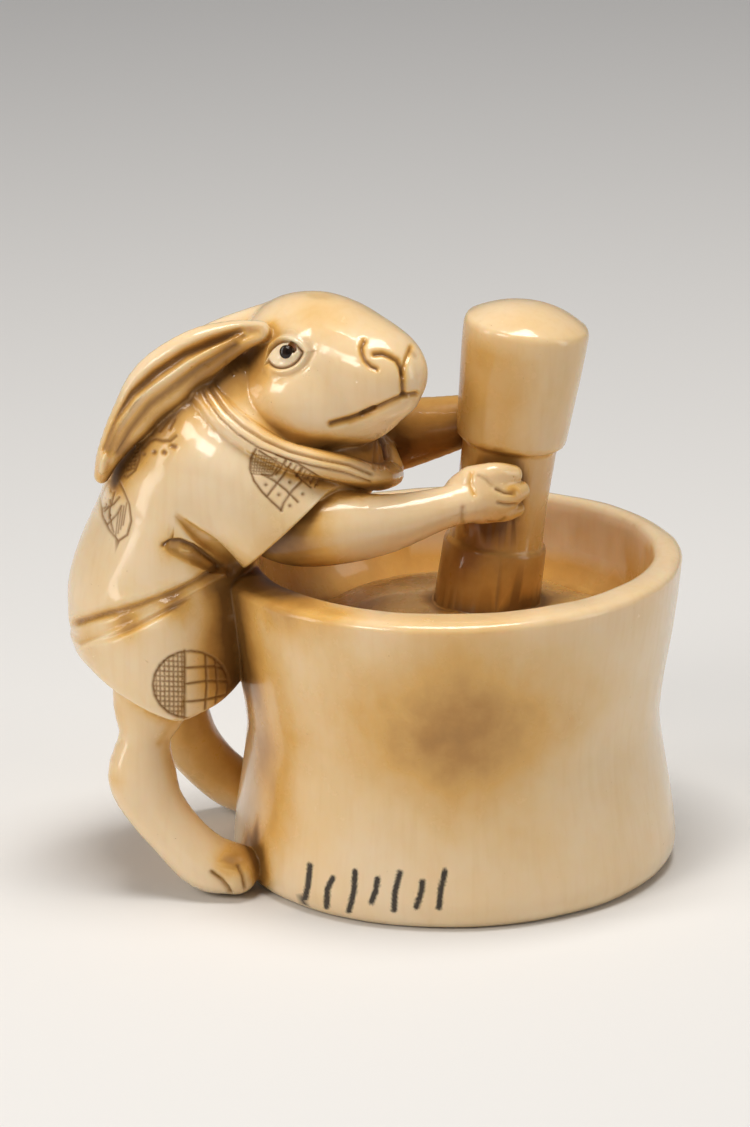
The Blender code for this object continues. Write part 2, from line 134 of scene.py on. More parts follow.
# Stations: centre, half width in the figure's own plane, half width across it
# and, where a section doesn't stand square to the path, its own lean
TORSO = [
    (-8.6, -0.6, 29.0, 3.4, 4.2), (-12.0, -0.2, 27.9, 4.8, 6.2),
    (-15.1, 0.0, 25.4, 5.5, 6.9), (-16.5, 0.0, 22.2, 5.2, 6.9),
    (-17.65, 0.0, 18.8, 5.55, 6.55), (-17.9, 0.0, 16.9, 5.75, 6.5),
    (-17.6, 0.0, 15.6, 5.2, 6.3),
]
SKIRT = [
    (-17.8, 0.0, 18.1, 6.4, 6.9, 28.0), (-17.75, 0.0, 16.2, 5.8, 7.2, 14.0),
    (-17.75, -0.05, 14.3, 5.2, 7.35, -4.0), (-17.85, -0.1, 12.0, 5.0, 7.4, -24.0),
]
NEAR_SLEEVE = [
    (-15.0, -3.5, 28.0, 3.6, 3.2), (-12.8, -4.6, 26.5, 3.8, 3.6),
    (-9.8, -5.4, 23.3, 3.75, 3.4),
]
FAR_SLEEVE = [
    (-14.6, 3.5, 27.8, 3.6, 3.2), (-12.2, 4.6, 26.6, 3.8, 3.5),
    (-9.4, 5.4, 24.9, 3.5, 3.3),
]
NEAR_ARM = [
    (-11.6, -4.8, 24.0, 2.1, 2.1), (-9.6, -5.4, 23.2, 2.25, 2.2),
    (-6.8, -5.7, 23.3, 2.25, 2.2), (-3.9, -5.4, 23.4, 1.8, 1.8),
    (-0.7, -4.7, 24.0, 1.3, 1.35), (1.2, -4.2, 24.3, 1.3, 1.3),
]
FAR_ARM = [
    (-11.0, 5.0, 25.2, 2.5, 2.4), (-7.4, 6.0, 24.8, 2.4, 2.3),
    (-3.6, 5.2, 25.7, 2.3, 2.1), (-0.4, 4.2, 26.6, 1.85, 1.7),
    (1.6, 3.6, 27.2, 1.5, 1.4),
]
NEAR_LEG = [
    (-18.0, -4.4, 14.2, 2.8, 2.3), (-18.5, -4.8, 12.0, 2.3, 2.1),
    (-18.9, -5.2, 10.1, 1.6, 1.6), (-19.2, -5.4, 7.6, 2.1, 1.7),
    (-18.5, -5.6, 5.7, 1.85, 1.6), (-17.1, -5.9, 3.8, 1.7, 1.6),
    (-15.4, -6.1, 2.1, 1.75, 1.9), (-13.6, -6.2, 1.6, 1.5, 2.0),
]
FAR_LEG = [
    (-17.4, 4.6, 14.0, 2.8, 2.3), (-17.2, 5.2, 11.8, 2.2, 2.1),
    (-17.1, 5.9, 9.6, 1.6, 1.6), (-17.2, 6.4, 7.0, 2.0, 1.7),
    (-16.3, 6.9, 5.0, 1.8, 1.6), (-15.0, 7.4, 3.2, 1.7, 1.6),
    (-13.7, 7.8, 2.0, 1.65, 1.8), (-12.4, 8.0, 1.55, 1.45, 1.9),
]
NEAR_EAR = [
    (-11.3, -3.3, 35.0, 0.7, 0.7), (-12.9, -3.9, 34.8, 1.1, 0.95),
    (-15.0, -4.5, 34.0, 1.6, 1.1), (-17.4, -4.7, 32.3, 1.8, 1.15),
    (-19.1, -4.4, 30.1, 1.35, 1.1), (-20.5, -3.8, 27.8, 0.78, 0.9),
    (-21.1, -3.3, 26.2, 0.45, 0.6),
]
FAR_EAR = [
    (-9.6, 0.8, 34.9, 1.1, 0.9), (-11.8, 2.1, 33.7, 1.3, 1.0),
    (-14.2, 3.2, 32.2, 1.6, 1.1), (-16.4, 4.0, 30.4, 1.8, 1.15),
    (-18.2, 4.3, 28.2, 1.7, 1.1), (-19.5, 4.0, 26.0, 1.25, 0.9),
    (-20.2, 3.6, 24.5, 0.6, 0.6),
]
COLLAR_PATH = [
    (-15.2, 0.0, 32.3), (-15.0, -3.4, 32.0), (-13.2, -6.0, 30.2),
    (-10.2, -6.9, 28.4), (-6.9, -5.9, 27.2), (-4.7, -3.6, 25.8),
    (-3.9, -0.6, 25.0),
]
COLLAR_HALF_WIDTH = 1.15
COLLAR_THICKNESS = 0.85
SLEEVE_FOLD = [
    (-16.4, -6.9, 24.5), (-15.3, -6.8, 23.4), (-14.4, -6.5, 22.5),
    (-13.0, -5.2, 20.8),
]
NEAR_PAW = (1.9, -3.7, 24.5)
FAR_PAW = (3.0, 3.6, 27.0)


# Distances on a grid

class Block:
    """Distances to a carved surface on a grid, negative inside it."""

    def __init__(self, axes, place=None):
        self.axes = axes
        self.place = place
        self.field = np.full([len(axis) for axis in axes], FAR, np.float32)

    def cells(self, low, high):
        return tuple(slice(*np.searchsorted(axis, (low[k], high[k])))
                     for k, axis in enumerate(self.axes))

    def part(self, low, high):
        """An empty block over some of this one's cells."""
        place = self.cells(low, high)
        return Block([axis[cut] for axis, cut in zip(self.axes, place)], place)

    def measure(self, form):
        low, high, distance = form
        place = self.cells(low, high)
        x, y, z = (axis[cut] for axis, cut in zip(self.axes, place))
        return place, distance(x[:, None, None], y[None, :, None], z[None, None, :])

    def add(self, form, soft):
        place, new = self.measure(form)
        self.field[place] = soft_least(self.field[place], new, soft)

    def cut(self, form, soft):
        place, new = self.measure(form)
        self.field[place] = -soft_least(-self.field[place], new, soft)

    def keep(self, form, soft):
        place, new = self.measure(form)
        self.field[place] = -soft_least(-self.field[place], -new, soft)

    def join(self, other, soft):
        self.field[other.place] = soft_least(self.field[other.place], other.field, soft)


def soft_least(first, second, soft):
    share = np.clip(0.5 + 0.5 * (second - first) / soft, 0.0, 1.0)
    return second + (first - second) * share - soft * share * (1.0 - share)


def ball(centre, radii, turn=0.0, pitch=0.0, pad=2.0):
    """A ball stretched along its own axes, pitched about Y, then turned."""
    spin = np.array(Matrix.Rotation(math.radians(turn), 3, "Z")
                    @ Matrix.Rotation(math.radians(pitch), 3, "Y"))
    radii = np.array(radii, float)
    centre = np.array(centre, float)
    reach = np.sqrt(((spin * radii) ** 2).sum(1)) + pad

    def distance(x, y, z):
        near, slope = 0.0, 0.0
        for k in range(3):
            along = ((x - centre[0]) * spin[0, k] + (y - centre[1]) * spin[1, k]
                     + (z - centre[2]) * spin[2, k]) / radii[k]
            near = near + along ** 2
            slope = slope + (along / radii[k]) ** 2
        near = np.sqrt(near)
        return ((near - 1.0) * (near + 0.001)
                / (np.sqrt(slope) + 0.001 / radii.min())).astype(np.float32)

    return centre - reach, centre + reach, distance


def eased(rows, finer):
    """Rows of numbers, with more rows between them on a smooth curve."""
    rows = np.array(rows, float)
    padded = np.vstack([2 * rows[:1] - rows[1:2], rows, 2 * rows[-1:] - rows[-2:-1]])
    made = []
    for k in range(len(rows) - 1):
        a, b, c, d = padded[k:k + 4]
        for step in range(finer):
            t = step / finer
            made.append(0.5 * (2 * b + (c - a) * t + (2 * a - 5 * b + 4 * c - d) * t * t
                               + (3 * b - a - 3 * c + d) * t ** 3))
    return np.vstack([made, rows[-1:]])


def unit(vector):
    return vector / np.linalg.norm(vector)


def limb(stations, side=(0.0, 1.0, 0.0), flat_start=False, flat_end=False,
         finer=4, pad=2.0):
    """A limb through elliptical sections, with round ends or flat ones."""
    rows = eased(stations, finer)
    centres, sizes = rows[:, :3], rows[:, 3:5]
    frames = []
    for k, centre in enumerate(centres):
        along = unit(centres[min(k + 1, len(rows) - 1)] - centres[max(k - 1, 0)])
        if rows.shape[1] > 5:
            lean = math.radians(rows[k, 5])
            along = np.array((math.sin(lean), 0.0, -math.cos(lean)))
        across = np.array(side, float)
        across = unit(across - along * across.dot(along))
        frames.append((along, np.cross(along, across), across))
    reach = sizes.max() + pad

    def distance(x, y, z):
        found = np.full(np.broadcast_shapes(x.shape, y.shape, z.shape), FAR, np.float32)
        for k in range(len(rows) - 1):
            a, b = centres[k], centres[k + 1]
            room = max(sizes[k].max(), sizes[k + 1].max()) + pad
            low, high = np.minimum(a, b) - room, np.maximum(a, b) + room
            cut = [slice(*np.searchsorted(axis.ravel(), (low[j], high[j])))
                   for j, axis in enumerate((x, y, z))]
            if any(piece.start >= piece.stop for piece in cut):
                continue
            place = tuple(cut)
            q = (x[cut[0]] - a[0], y[:, cut[1]] - a[1], z[:, :, cut[2]] - a[2])
            step = b - a

            def dot(vector, shift=(0.0, 0.0, 0.0)):
                return sum((q[j] - shift[j]) * vector[j] for j in range(3))

            from_first, from_last = dot(frames[k][0]), -dot(frames[k + 1][0], step)
            t = np.clip(from_first / np.maximum(from_first + from_last, 1e-3), 0.0, 1.0)
            past = np.minimum(np.minimum(from_first, from_last), 0.0)
            up = dot(frames[k][1]) * (1 - t) + dot(frames[k + 1][1]) * t
            up = up - t * (step.dot(frames[k][1]) * (1 - t) + step.dot(frames[k + 1][1]) * t)
            over = dot(frames[k][2]) * (1 - t) + dot(frames[k + 1][2]) * t
            over = over - t * (step.dot(frames[k][2]) * (1 - t) + step.dot(frames[k + 1][2]) * t)
            wide = sizes[k, 0] + (sizes[k + 1, 0] - sizes[k, 0]) * t
            deep = sizes[k, 1] + (sizes[k + 1, 1] - sizes[k, 1]) * t
            round_end = min(sizes[k].min(), sizes[k + 1].min())
            near = np.sqrt((up / wide) ** 2 + (over / deep) ** 2 + (past / round_end) ** 2)
            slope = np.sqrt((up / wide ** 2) ** 2 + (over / deep ** 2) ** 2
                            + (past / round_end ** 2) ** 2)
            part = (near - 1.0) * (near + 0.001) / (slope + 0.001 / round_end)
            found[place] = np.minimum(found[place], part)
        for wanted, k, sign in ((flat_start, 0, 1.0), (flat_end, -1, -1.0)):
            if wanted:
                normal = frames[k][0] * sign
                beyond = ((x - centres[k, 0]) * normal[0] + (y - centres[k, 1]) * normal[1]
                          + (z - centres[k, 2]) * normal[2])
                found = -soft_least(-found, beyond.astype(np.float32), EDGE)
        return found

    return centres.min(0) - reach, centres.max(0) + reach, distance


def tube(path, radii, pad=1.2, finer=5):
    """A round tube along points, its radius one number or one for each point."""
    radii = np.broadcast_to(radii, len(path))
    return limb([(*point, radius, radius) for point, radius in zip(path, radii)],
                side=(0.13, 0.21, 0.97), finer=finer, pad=pad)


def outline_distance(corners, x, y):
    """Signed distance to a closed outline of (x, y) corners."""
    corners = np.array(corners, float)
    least = np.full(np.broadcast_shapes(x.shape, y.shape), 1e9)
    inside = np.zeros(least.shape, bool)
    for (ax, ay), (bx, by) in zip(corners, np.roll(corners, -1, 0)):
        ex, ey = bx - ax, by - ay
        t = np.clip(((x - ax) * ex + (y - ay) * ey) / (ex * ex + ey * ey + 1e-12), 0, 1)
        least = np.minimum(least, (x - ax - t * ex) ** 2 + (y - ay - t * ey) ** 2)
        crosses = ((ay <= y) != (by <= y)) & (x < ex * (y - ay) / (ey if ey else 1e-12) + ax)
        inside ^= crosses
    return np.where(inside, -1.0, 1.0) * np.sqrt(least)


def turned(outline, base=(0.0, 0.0, 0.0), lean=0.0, low=None, high=None):
    """A body turned from (radius, height) corners about an axis that leans."""
    cell = 0.04
    top = max(height for _, height in outline)
    bottom = min(height for _, height in outline)
    wide = max(radius for radius, _ in outline)
    radii = np.arange(0.0, wide + 4.0, cell)
    heights = np.arange(bottom - 4.0, top + 4.0, cell)
    table = outline_distance(outline, radii[:, None], heights[None, :]).astype(np.float32)
    angle = math.radians(lean)

    def distance(x, y, z):
        dx, dy, dz = x - base[0], y - base[1], z - base[2]
        height = dx * math.sin(angle) + dz * math.cos(angle)
        radius = np.sqrt((dx * math.cos(angle) - dz * math.sin(angle)) ** 2 + dy ** 2)
        row = np.clip(radius / cell, 0, len(radii) - 1.01)
        column = np.clip((height - heights[0]) / cell, 0, len(heights) - 1.01)
        row, column = np.broadcast_arrays(row, column)
        i, j = row.astype(np.int32), column.astype(np.int32)
        s, t = row - i, column - j
        return ((table[i, j] * (1 - s) + table[i + 1, j] * s) * (1 - t)
                + (table[i, j + 1] * (1 - s) + table[i + 1, j + 1] * s) * t)

    return np.array(low, float), np.array(high, float), distance


def along_head(forward, sideways, upward):
    """A point of the head: forward to the nose, sideways to its left, up."""
    turn = Matrix.Rotation(math.radians(HEAD_TURN), 3, "Z")
    return tuple(Vector(HEAD_CENTRE) + turn @ Vector((forward, sideways, upward)))


# Carved forms

# Forms of the head, forward, to a side and up: the place, the radii, how softly
# they join and the pitch. The cheek's forms are on both sides
SKULL_FORMS = [
    ((-0.8, 0.0, 0.1), (4.9, 4.2, 4.3), 0.1, 0.0),
    ((2.2, 0.0, 1.1), (4.6, 3.3, 2.9), 1.0, 16.0),
    ((4.4, 0.0, 0.35), (3.3, 2.85, 2.75), 0.9, 0.0),
]
CHEEK_FORMS = [
    ((1.6, 1.7, -1.7), (3.2, 2.2, 2.5), 1.0, 0.0),
    ((-0.7, 2.7, -1.9), (3.7, 3.2, 3.35), 1.8, 0.0),
]
CHIN_FORMS = [
    ((3.6, 0.0, -2.1), (3.3, 2.1, 1.9), 0.8, -36.0),
    ((5.45, 0.0, -1.35), (1.65, 1.7, 0.95), 0.4, -14.0),
]
BROW_RADIUS = 1.25


def head_block(main):
    head = main.part((-16.5, -10.5, 25.5), (1.5, 6.5, 37.6))

    forms = SKULL_FORMS + [((forward, side * out, up), radii, soft, pitch)
                           for side in (-1.0, 1.0)
                           for (forward, out, up), radii, soft, pitch in CHEEK_FORMS]
    for place, radii, soft, pitch in forms + CHIN_FORMS:
        head.add(ball(along_head(*place), radii, HEAD_TURN, pitch), soft)
    for side in (-1.0, 1.0):
        place, outward = eye_frame(side)
        head.add(ball(place - outward * BROW_RADIUS, (BROW_RADIUS,) * 3), 0.5)
    return head


def eye_frame(side):
    """Where an eye sits and the way it looks; side -1 is the near eye."""
    turn = Matrix.Rotation(math.radians(HEAD_TURN), 3, "Z")
    near = turn.inverted() @ (Vector(EYE_CENTRE) - Vector(HEAD_CENTRE))
    local = Vector((near.x, near.y * -side, near.z))
    outward = turn @ Vector((0.25, side, 0.2)).normalized()
    return Vector(HEAD_CENTRE) + turn @ local, outward


def ear_block(main, stations, side):
    """An ear hollowed along its upper half, with a rolled edge below."""
    rows = np.array(stations)
    low, high = rows[:, :3].min(0) - 3.5, rows[:, :3].max(0) + 3.5
    ear = main.part(low, high)
    ear.add(limb(stations), 0.1)
    inner = []
    for k, (x, y, z, wide, deep) in enumerate(stations[:-1]):
        along = unit(np.array(stations[k + 1][:3]) - np.array((x, y, z)))
        rise = unit(np.cross(along, (0.0, side, 0.0))) * -side
        rise = rise if rise[2] > 0 else -rise
        x, y, z = np.array((x, y + side * deep * 1.05, z)) + rise * wide * 0.36
        inner.append((x, y, z, wide * 0.36, deep * 0.42))
    ear.cut(limb(inner, pad=1.2), 0.4)
    return ear


PAW_RADII = (2.4, 1.5, 1.75)
# The fingers from the paw's centre: three corners each, forward, outward and up,
# their radii and how softly they join
FINGERS = [
    (((-0.6, 0.2, 1.1), (0.8, 0.35, 1.45), (1.9, -0.1, 1.25)), (0.75, 0.7, 0.6), 0.35),
    (((0.2, 0.55, 0.1), (1.6, 0.5, 0.15), (2.35, -0.2, 0.2)), (0.7, 0.72, 0.6), 0.12),
    (((0.1, 0.4, -0.9), (1.3, 0.4, -0.95), (2.1, -0.2, -0.95)), (0.6, 0.6, 0.52), 0.12),
]


def paw_forms(main, centre, outward):
    """A paw and the small fingers that close round the grip."""
    x, y, z = centre
    paw = main.part((x - 5.0, y - 4.0, z - 4.0), (x + 5.5, y + 4.0, z + 4.5))
    paw.add(ball(centre, PAW_RADII), 0.1)
    for corners, radii, soft in FINGERS:
        path = [(x + forward, y + outward * out, z + up) for forward, out, up in corners]
        paw.add(tube(path, radii), soft)
    return paw


def ease_to_waist(share):
    """Even slope with a rounded start and a fairly tight turn at the waist."""
    rounded = 0.5 - 0.5 * math.cos(math.pi * share)
    mixed = 0.35 * rounded + 0.65 * share
    return min(mixed, 1.0 - 0.9 * max(0.0, share - 0.9) ** 1.5) if share > 0.9 else mixed


def bowl_outline():
    """The hollow of the mortar down to the rice."""
    inner = RIM_RADIUS - RIM_WIDTH - 0.2
    return [(0.0, RICE_HEIGHT), (RICE_RADIUS * 0.3, RICE_HEIGHT - 0.05),
            (RICE_RADIUS * 0.6, RICE_HEIGHT - 0.25), (RICE_RADIUS * 0.85, RICE_HEIGHT - 0.95),
            (RICE_RADIUS, RICE_HEIGHT - 1.75), (inner - 1.6, BOWL_FLOOR - 0.15),
            (inner - 1.0, BOWL_FLOOR + 0.4), (inner - 0.45, BOWL_FLOOR + 1.3),
            (inner - 0.15, BOWL_FLOOR + 2.3), (inner, MORTAR_HEIGHT - 1.0),
            (inner + 0.1, MORTAR_HEIGHT - 0.45), (inner + 0.25, MORTAR_HEIGHT - 0.15),
            (inner + 0.5, MORTAR_HEIGHT + 0.02), (inner + 0.8, MORTAR_HEIGHT + 1.5),
            (0.0, MORTAR_HEIGHT + 1.5)]


def mortar_outline():
    outline = [(0.0, MORTAR_HEIGHT), (RIM_RADIUS - 0.8, MORTAR_HEIGHT),
               (RIM_RADIUS - 0.4, MORTAR_HEIGHT - 0.06), (RIM_RADIUS - 0.15, MORTAR_HEIGHT - 0.2),
               (RIM_RADIUS - 0.02, MORTAR_HEIGHT - 0.42)]
    upper = MORTAR_HEIGHT - 0.5
    for step in range(0, 25):
        share = step / 25
        dip = ease_to_waist(share)
        outline.append((RIM_RADIUS + (WAIST_RADIUS - RIM_RADIUS) * dip,
                        upper + (WAIST_HEIGHT - upper) * share))
    for step in range(0, 25):
        share = step / 25
        swell = 1.0 - ease_to_waist(1.0 - share)
        outline.append((WAIST_RADIUS + (FOOT_RADIUS - WAIST_RADIUS) * swell,
                        WAIST_HEIGHT + (1.7 - WAIST_HEIGHT) * share))
    for step in range(0, 9):
        turn = math.pi / 2 * step / 8
        outline.append((FOOT_RADIUS - 1.02 * (1.0 - math.cos(turn)),
                        1.7 * (1.0 - math.sin(turn))))
    outline.append((0.0, 0.0))
    return outline


def pestle_outline():
    outline = [(0.0, PESTLE_TOP + HEAD_DOME)]
    for step in range(1, 12):
        share = step / 12
        outline.append((HEAD_TOP_RADIUS * 0.95 * share,
                        PESTLE_TOP + HEAD_DOME * (1.0 - share ** 2.2)))
    outline += [
        (HEAD_TOP_RADIUS * 0.95, PESTLE_TOP + 0.02), (HEAD_TOP_RADIUS * 0.985, PESTLE_TOP - 0.18),
        (HEAD_TOP_RADIUS, PESTLE_TOP - 0.5), (HEAD_TOP_RADIUS - 0.04, PESTLE_TOP - 1.6),
        (HEAD_LOWER_RADIUS, HEAD_LOWER_EDGE + 0.55),
        (HEAD_LOWER_RADIUS - 0.08, HEAD_LOWER_EDGE + 0.2),
        (HEAD_LOWER_RADIUS - 0.3, HEAD_LOWER_EDGE + 0.02),
        (GRIP_RADIUS + 0.05, HEAD_LOWER_EDGE - 0.02), (GRIP_RADIUS, HEAD_LOWER_EDGE - 0.3),
        (GRIP_RADIUS - 0.1, LOWER_STEP + 2.6), (GRIP_RADIUS, LOWER_STEP + 0.3),
        (GRIP_RADIUS + 0.02, LOWER_STEP + 0.05), (LOWER_RADIUS - 0.08, LOWER_STEP - 0.02),
        (LOWER_RADIUS + 0.02, LOWER_STEP - 0.25), (LOWER_RADIUS + 0.15, -PESTLE_SUNK),
        (0.0, -PESTLE_SUNK),
    ]
    return outline


def vessel_block(main):
    vessel = main.part((-15.0, -15.0, -1.0), (15.0, 15.0, 37.6))
    vessel.add(turned(mortar_outline(), low=(-15, -15, -1.0), high=(15, 15, 22.5)), 0.01)
    vessel.cut(turned(bowl_outline(), BOWL_CENTRE, low=(-15, -15, 11.0), high=(15, 15, 22.5)),
               0.2)
    # the rice swells round the pestle in soft lumps
    for x, y, z, radii in ((5.6, -3.4, 15.4, (3.2, 2.4, 1.35)), (-0.4, -3.6, 15.4, (2.6, 2.4, 1.25)),
                           (7.4, 0.6, 15.3, (2.2, 2.8, 1.2)), (2.4, 4.4, 15.5, (3.6, 2.4, 1.25)),
                           (-2.8, 0.6, 15.4, (2.4, 3.0, 1.3))):
        vessel.add(ball((x, y, z), radii), 0.6)
    vessel.add(turned(pestle_outline(), PESTLE_FOOT, PESTLE_LEAN,
                      low=(-3.5, -5.5, 12.5), high=(11.5, 5.5, 37.6)), 0.12)
    hole = []
    for step in range(0, 11):
        turn = math.radians(-24.0 + 228.0 * step / 10)
        hole.append((-CORD_HOLE_SPACING / 2 * math.cos(turn), 0.0,
                     CORD_HOLE_DEPTH * math.sin(turn)))
    vessel.cut(tube(hole, CORD_HOLE_RADIUS, finer=2), 0.15)
    return vessel


def half_space(point, normal, low, high):
    normal = unit(np.array(normal, float))

    def distance(x, y, z):
        return ((x - point[0]) * normal[0] + (y - point[1]) * normal[1]
                + (z - point[2]) * normal[2]).astype(np.float32)

    return np.array(low, float), np.array(high, float), distance


CHEST = ((-8.2, -1.0, 26.0), (4.2, 4.8, 3.2))
NECK = ((-14.3, -0.2, 30.3), (4.8, 5.0, 3.5))
NECK_PITCH = -38.0
HEM_CUT = ((-17.2, 0.0, 11.35), (-0.2, 0.0, 0.98), (-18.4, -9.6, 8.5), (-9.5, 9.6, 14.5))
SLEEVE_FOLD_RADII = (0.15, 0.35, 0.5, 0.8)
WAIST_FOLD = [(-17.0, -7.0, 22.6), (-16.3, -7.05, 22.45), (-15.3, -6.75, 21.9),
              (-13.8, -5.9, 21.1)]
WAIST_FOLD_RADII = (0.35, 0.6, 0.6, 0.6)
SLEEVE_HOLLOWS = [
    [(-10.8, -5.15, 24.3, 2.75, 2.6), (-9.6, -5.45, 23.1, 3.05, 2.85),
     (-8.2, -5.8, 21.9, 3.4, 3.2)],
    [(-10.5, 5.2, 25.8, 2.7, 2.6), (-9.4, 5.4, 24.9, 2.9, 2.8), (-8.0, 5.7, 23.9, 3.1, 3.0)],
]
# Waves of a hand-cut surface: waves a millimetre, height and shift
HAND_WAVES = [(0.55, 0.035, 0.3), (0.9, 0.022, 1.7), (1.7, 0.01, 2.9)]


def carve():
    axes = [np.arange(low, high, GRID_STEP, dtype=np.float32)
            for low, high in zip(GRID_LOW, GRID_HIGH)]
    main = Block(axes)
    main.add(limb(TORSO, flat_end=True, pad=2.5), 0.1)
    main.add(ball(*CHEST), 1.0)
    main.add(ball(*NECK, 0.0, NECK_PITCH), 1.4)
    for sleeve in (NEAR_SLEEVE, FAR_SLEEVE):
        main.add(limb(sleeve, flat_end=True, pad=2.5), 1.1)
    # the hem rises again toward the mortar
    skirt = main.part((-24.4, -9.6, 8.5), (-9.5, 9.6, 22.5))
    skirt.add(limb(SKIRT, flat_start=True, flat_end=True, pad=2.5), 0.1)
    skirt.cut(half_space(*HEM_CUT), 0.5)
    main.join(skirt, 0.4)
    main.cut(tube(SLEEVE_FOLD, SLEEVE_FOLD_RADII), 0.35)
    main.cut(tube(WAIST_FOLD, WAIST_FOLD_RADII), 0.12)
    # sleeves are hollow round the arms
    for hollow in SLEEVE_HOLLOWS:
        main.cut(limb(hollow), 0.1)
    for stations in (NEAR_ARM, FAR_ARM, NEAR_LEG, FAR_LEG):
        main.add(limb(stations), 0.15)
    for mirror in (1.0, -1.0):
        band = [(x, y * mirror, z, COLLAR_HALF_WIDTH, COLLAR_THICKNESS)
                for x, y, z in COLLAR_PATH]
        main.add(limb(band, side=(0.0, 0.0, 1.0)), 0.12)
    main.join(head_block(main), 0.2)
    main.join(ear_block(main, NEAR_EAR, -1.0), 0.3)
    main.join(ear_block(main, FAR_EAR, 1.0), 0.3)
    main.join(paw_forms(main, NEAR_PAW, -1.0), 0.15)
    main.join(paw_forms(main, FAR_PAW, 1.0), 0.15)
    main.join(vessel_block(main), 0.15)
    for side in (-1.0, 1.0):
        place, outward = eye_frame(side)
        spot = place + outward * -0.3
        main.cut(ball(spot, (PUPIL_RADIUS * 0.8,) * 3), 0.05)
    # a hand-cut surface is never quite even
    x, y, z = (axis.astype(np.float32) for axis in main.axes)
    for fast, height, shift in HAND_WAVES:
        main.field += height * (np.sin(x * fast + shift)[:, None, None]
                                * np.sin(y * fast * 1.1 + shift * 2)[None, :, None]
                                * np.sin(z * fast * 0.9 + shift * 3)[None, None, :])
    return main


def sample(block, points):
    """Distances of the block at points, read between its cells."""
    low = np.array([axis[0] for axis in block.axes])
    spot = (points - low) / GRID_STEP
    spot = np.clip(spot, 0, np.array(block.field.shape) - 1.001)
    i = spot.astype(np.int32)
    t = (spot - i).astype(np.float32)
    found = 0.0
    for dx in (0, 1):
        for dy in (0, 1):
            for dz in (0, 1):
                weight = (np.abs(1 - dx - t[:, 0]) * np.abs(1 - dy - t[:, 1])
                          * np.abs(1 - dz - t[:, 2]))
                found = found + weight * block.field[i[:, 0] + dx, i[:, 1] + dy, i[:, 2] + dz]
    return found


def slope(block, points, reach=0.12):
    parts = []
    for k in range(3):
        step = np.zeros(3)
        step[k] = reach
        parts.append(sample(block, points + step) - sample(block, points - step))
    slopes = np.stack(parts, 1) / (2 * reach)
    return slopes / np.maximum(np.linalg.norm(slopes, axis=1, keepdims=True), 1e-6)


def skin(block):
    """The block's surface as a mesh in millimetres."""
    grid = openvdb.FloatGrid(background=3.0)
    grid.copyFromArray(block.field)
    points, triangles, quads = grid.convertToPolygons(isovalue=0.0, adaptivity=0.0)
    points = points * GRID_STEP + np.array([axis[0] for axis in block.axes])
    mesh = bpy.data.meshes.new("carving")
    faces = [tuple(face) for face in triangles.tolist()]
    faces += [tuple(face) for face in quads.tolist()]
    mesh.from_pydata(points.tolist(), [], faces)
    return mesh


def in_view(points):
    """Where points in millimetres lie in the camera's picture, in its pixels."""
    back = np.array((0.0, -math.cos(ELEVATION), math.sin(ELEVATION)))
    up = np.array((0.0, math.sin(ELEVATION), math.cos(ELEVATION)))
    shift = points - (np.array(TARGET) + back * DISTANCE)
    scale = DISTANCE * PIXELS_PER_MM / -(shift @ back)
    across, down = shift[:, 0] * scale, -(shift @ up) * scale
    turn = -ROLL
    return np.stack((PICTURE[0] / 2 + across * math.cos(turn) + down * math.sin(turn),
                     PICTURE[1] / 2 + down * math.cos(turn) - across * math.sin(turn)), 1)


def line_distance(points, path):
    """Least distance from points to a line of corners."""
    path = np.array(path, float)
    least = np.full(len(points), 1e9)
    if len(path) == 1:
        return np.linalg.norm(points - path[0], axis=1)
    for a, b in zip(path, path[1:]):
        step = b - a
        t = np.clip((points - a) @ step / (step @ step), 0.0, 1.0)
        least = np.minimum(least, np.linalg.norm(points - a - t[:, None] * step, axis=1))
    return least


# Engraved lines, as corners in the camera's picture: the line, its half width
# in pixels, its depth in millimetres and how much stain it holds

def ring(x, y, wide, tall, steps=20):
    turns = [2 * math.pi * step / steps for step in range(steps + 1)]
    return [(x + wide * math.cos(turn), y + tall * math.sin(turn)) for turn in turns]


FACE_STROKES = [
    ([(417, 394), (404, 396), (397, 399), (386, 404), (373, 410), (362, 415)], 2.4, 0.22, 0.75),
    ([(373, 410), (362, 415), (350, 419), (338, 422), (331, 424)], 2.8, 0.26, 0.8),
    # a wide shallow line along the mouth, holding stain and painted shade
    ([(399, 401), (384, 408), (366, 417), (350, 423)], 2.4, 0.05, 0.3),
    ([(364, 341), (361, 347), (362, 354), (365, 361), (370, 366), (376, 369)], 2.4, 0.2, 0.8),
    ([(374, 354), (382, 353), (390, 356), (397, 360), (401, 367), (403, 376),
      (403, 386), (404, 396)], 2.6, 0.24, 0.8),
    ([(403, 376), (404, 366), (407, 357), (411, 347)], 2.4, 0.16, 0.6),
    ([(412, 350), (416, 356)], 2.2, 0.08, 0.4),
    ([(233, 363), (237, 371)], 0.9, 0.05, 0.8),
    ([(229, 366), (233, 375)], 0.9, 0.05, 0.8),
    ([(238, 360), (241, 367)], 0.9, 0.05, 0.6),
    ([(226, 361), (229, 369)], 0.9, 0.05, 0.7),
    ([(378, 436), (375, 452), (374, 468)], 1.6, 0.1, 0.5),
    ([(385, 432), (382, 450), (381, 468)], 1.6, 0.1, 0.5),
    ([(392, 428), (390, 448), (389, 466)], 1.6, 0.1, 0.4),
]


COLLAR_STROKES = [
    ([(204, 372), (212, 390), (226, 410), (243, 426), (265, 440), (290, 451), (320, 459),
      (350, 465), (372, 474)], 1.7, 0.17, 0.7),
    ([(199, 381), (207, 400), (220, 418), (237, 434), (259, 448), (285, 458), (312, 466),
      (345, 473), (370, 482)], 1.3, 0.13, 0.7),
    ([(210, 371), (219, 388), (233, 406), (250, 421)], 1.0, 0.05, 0.3),
]


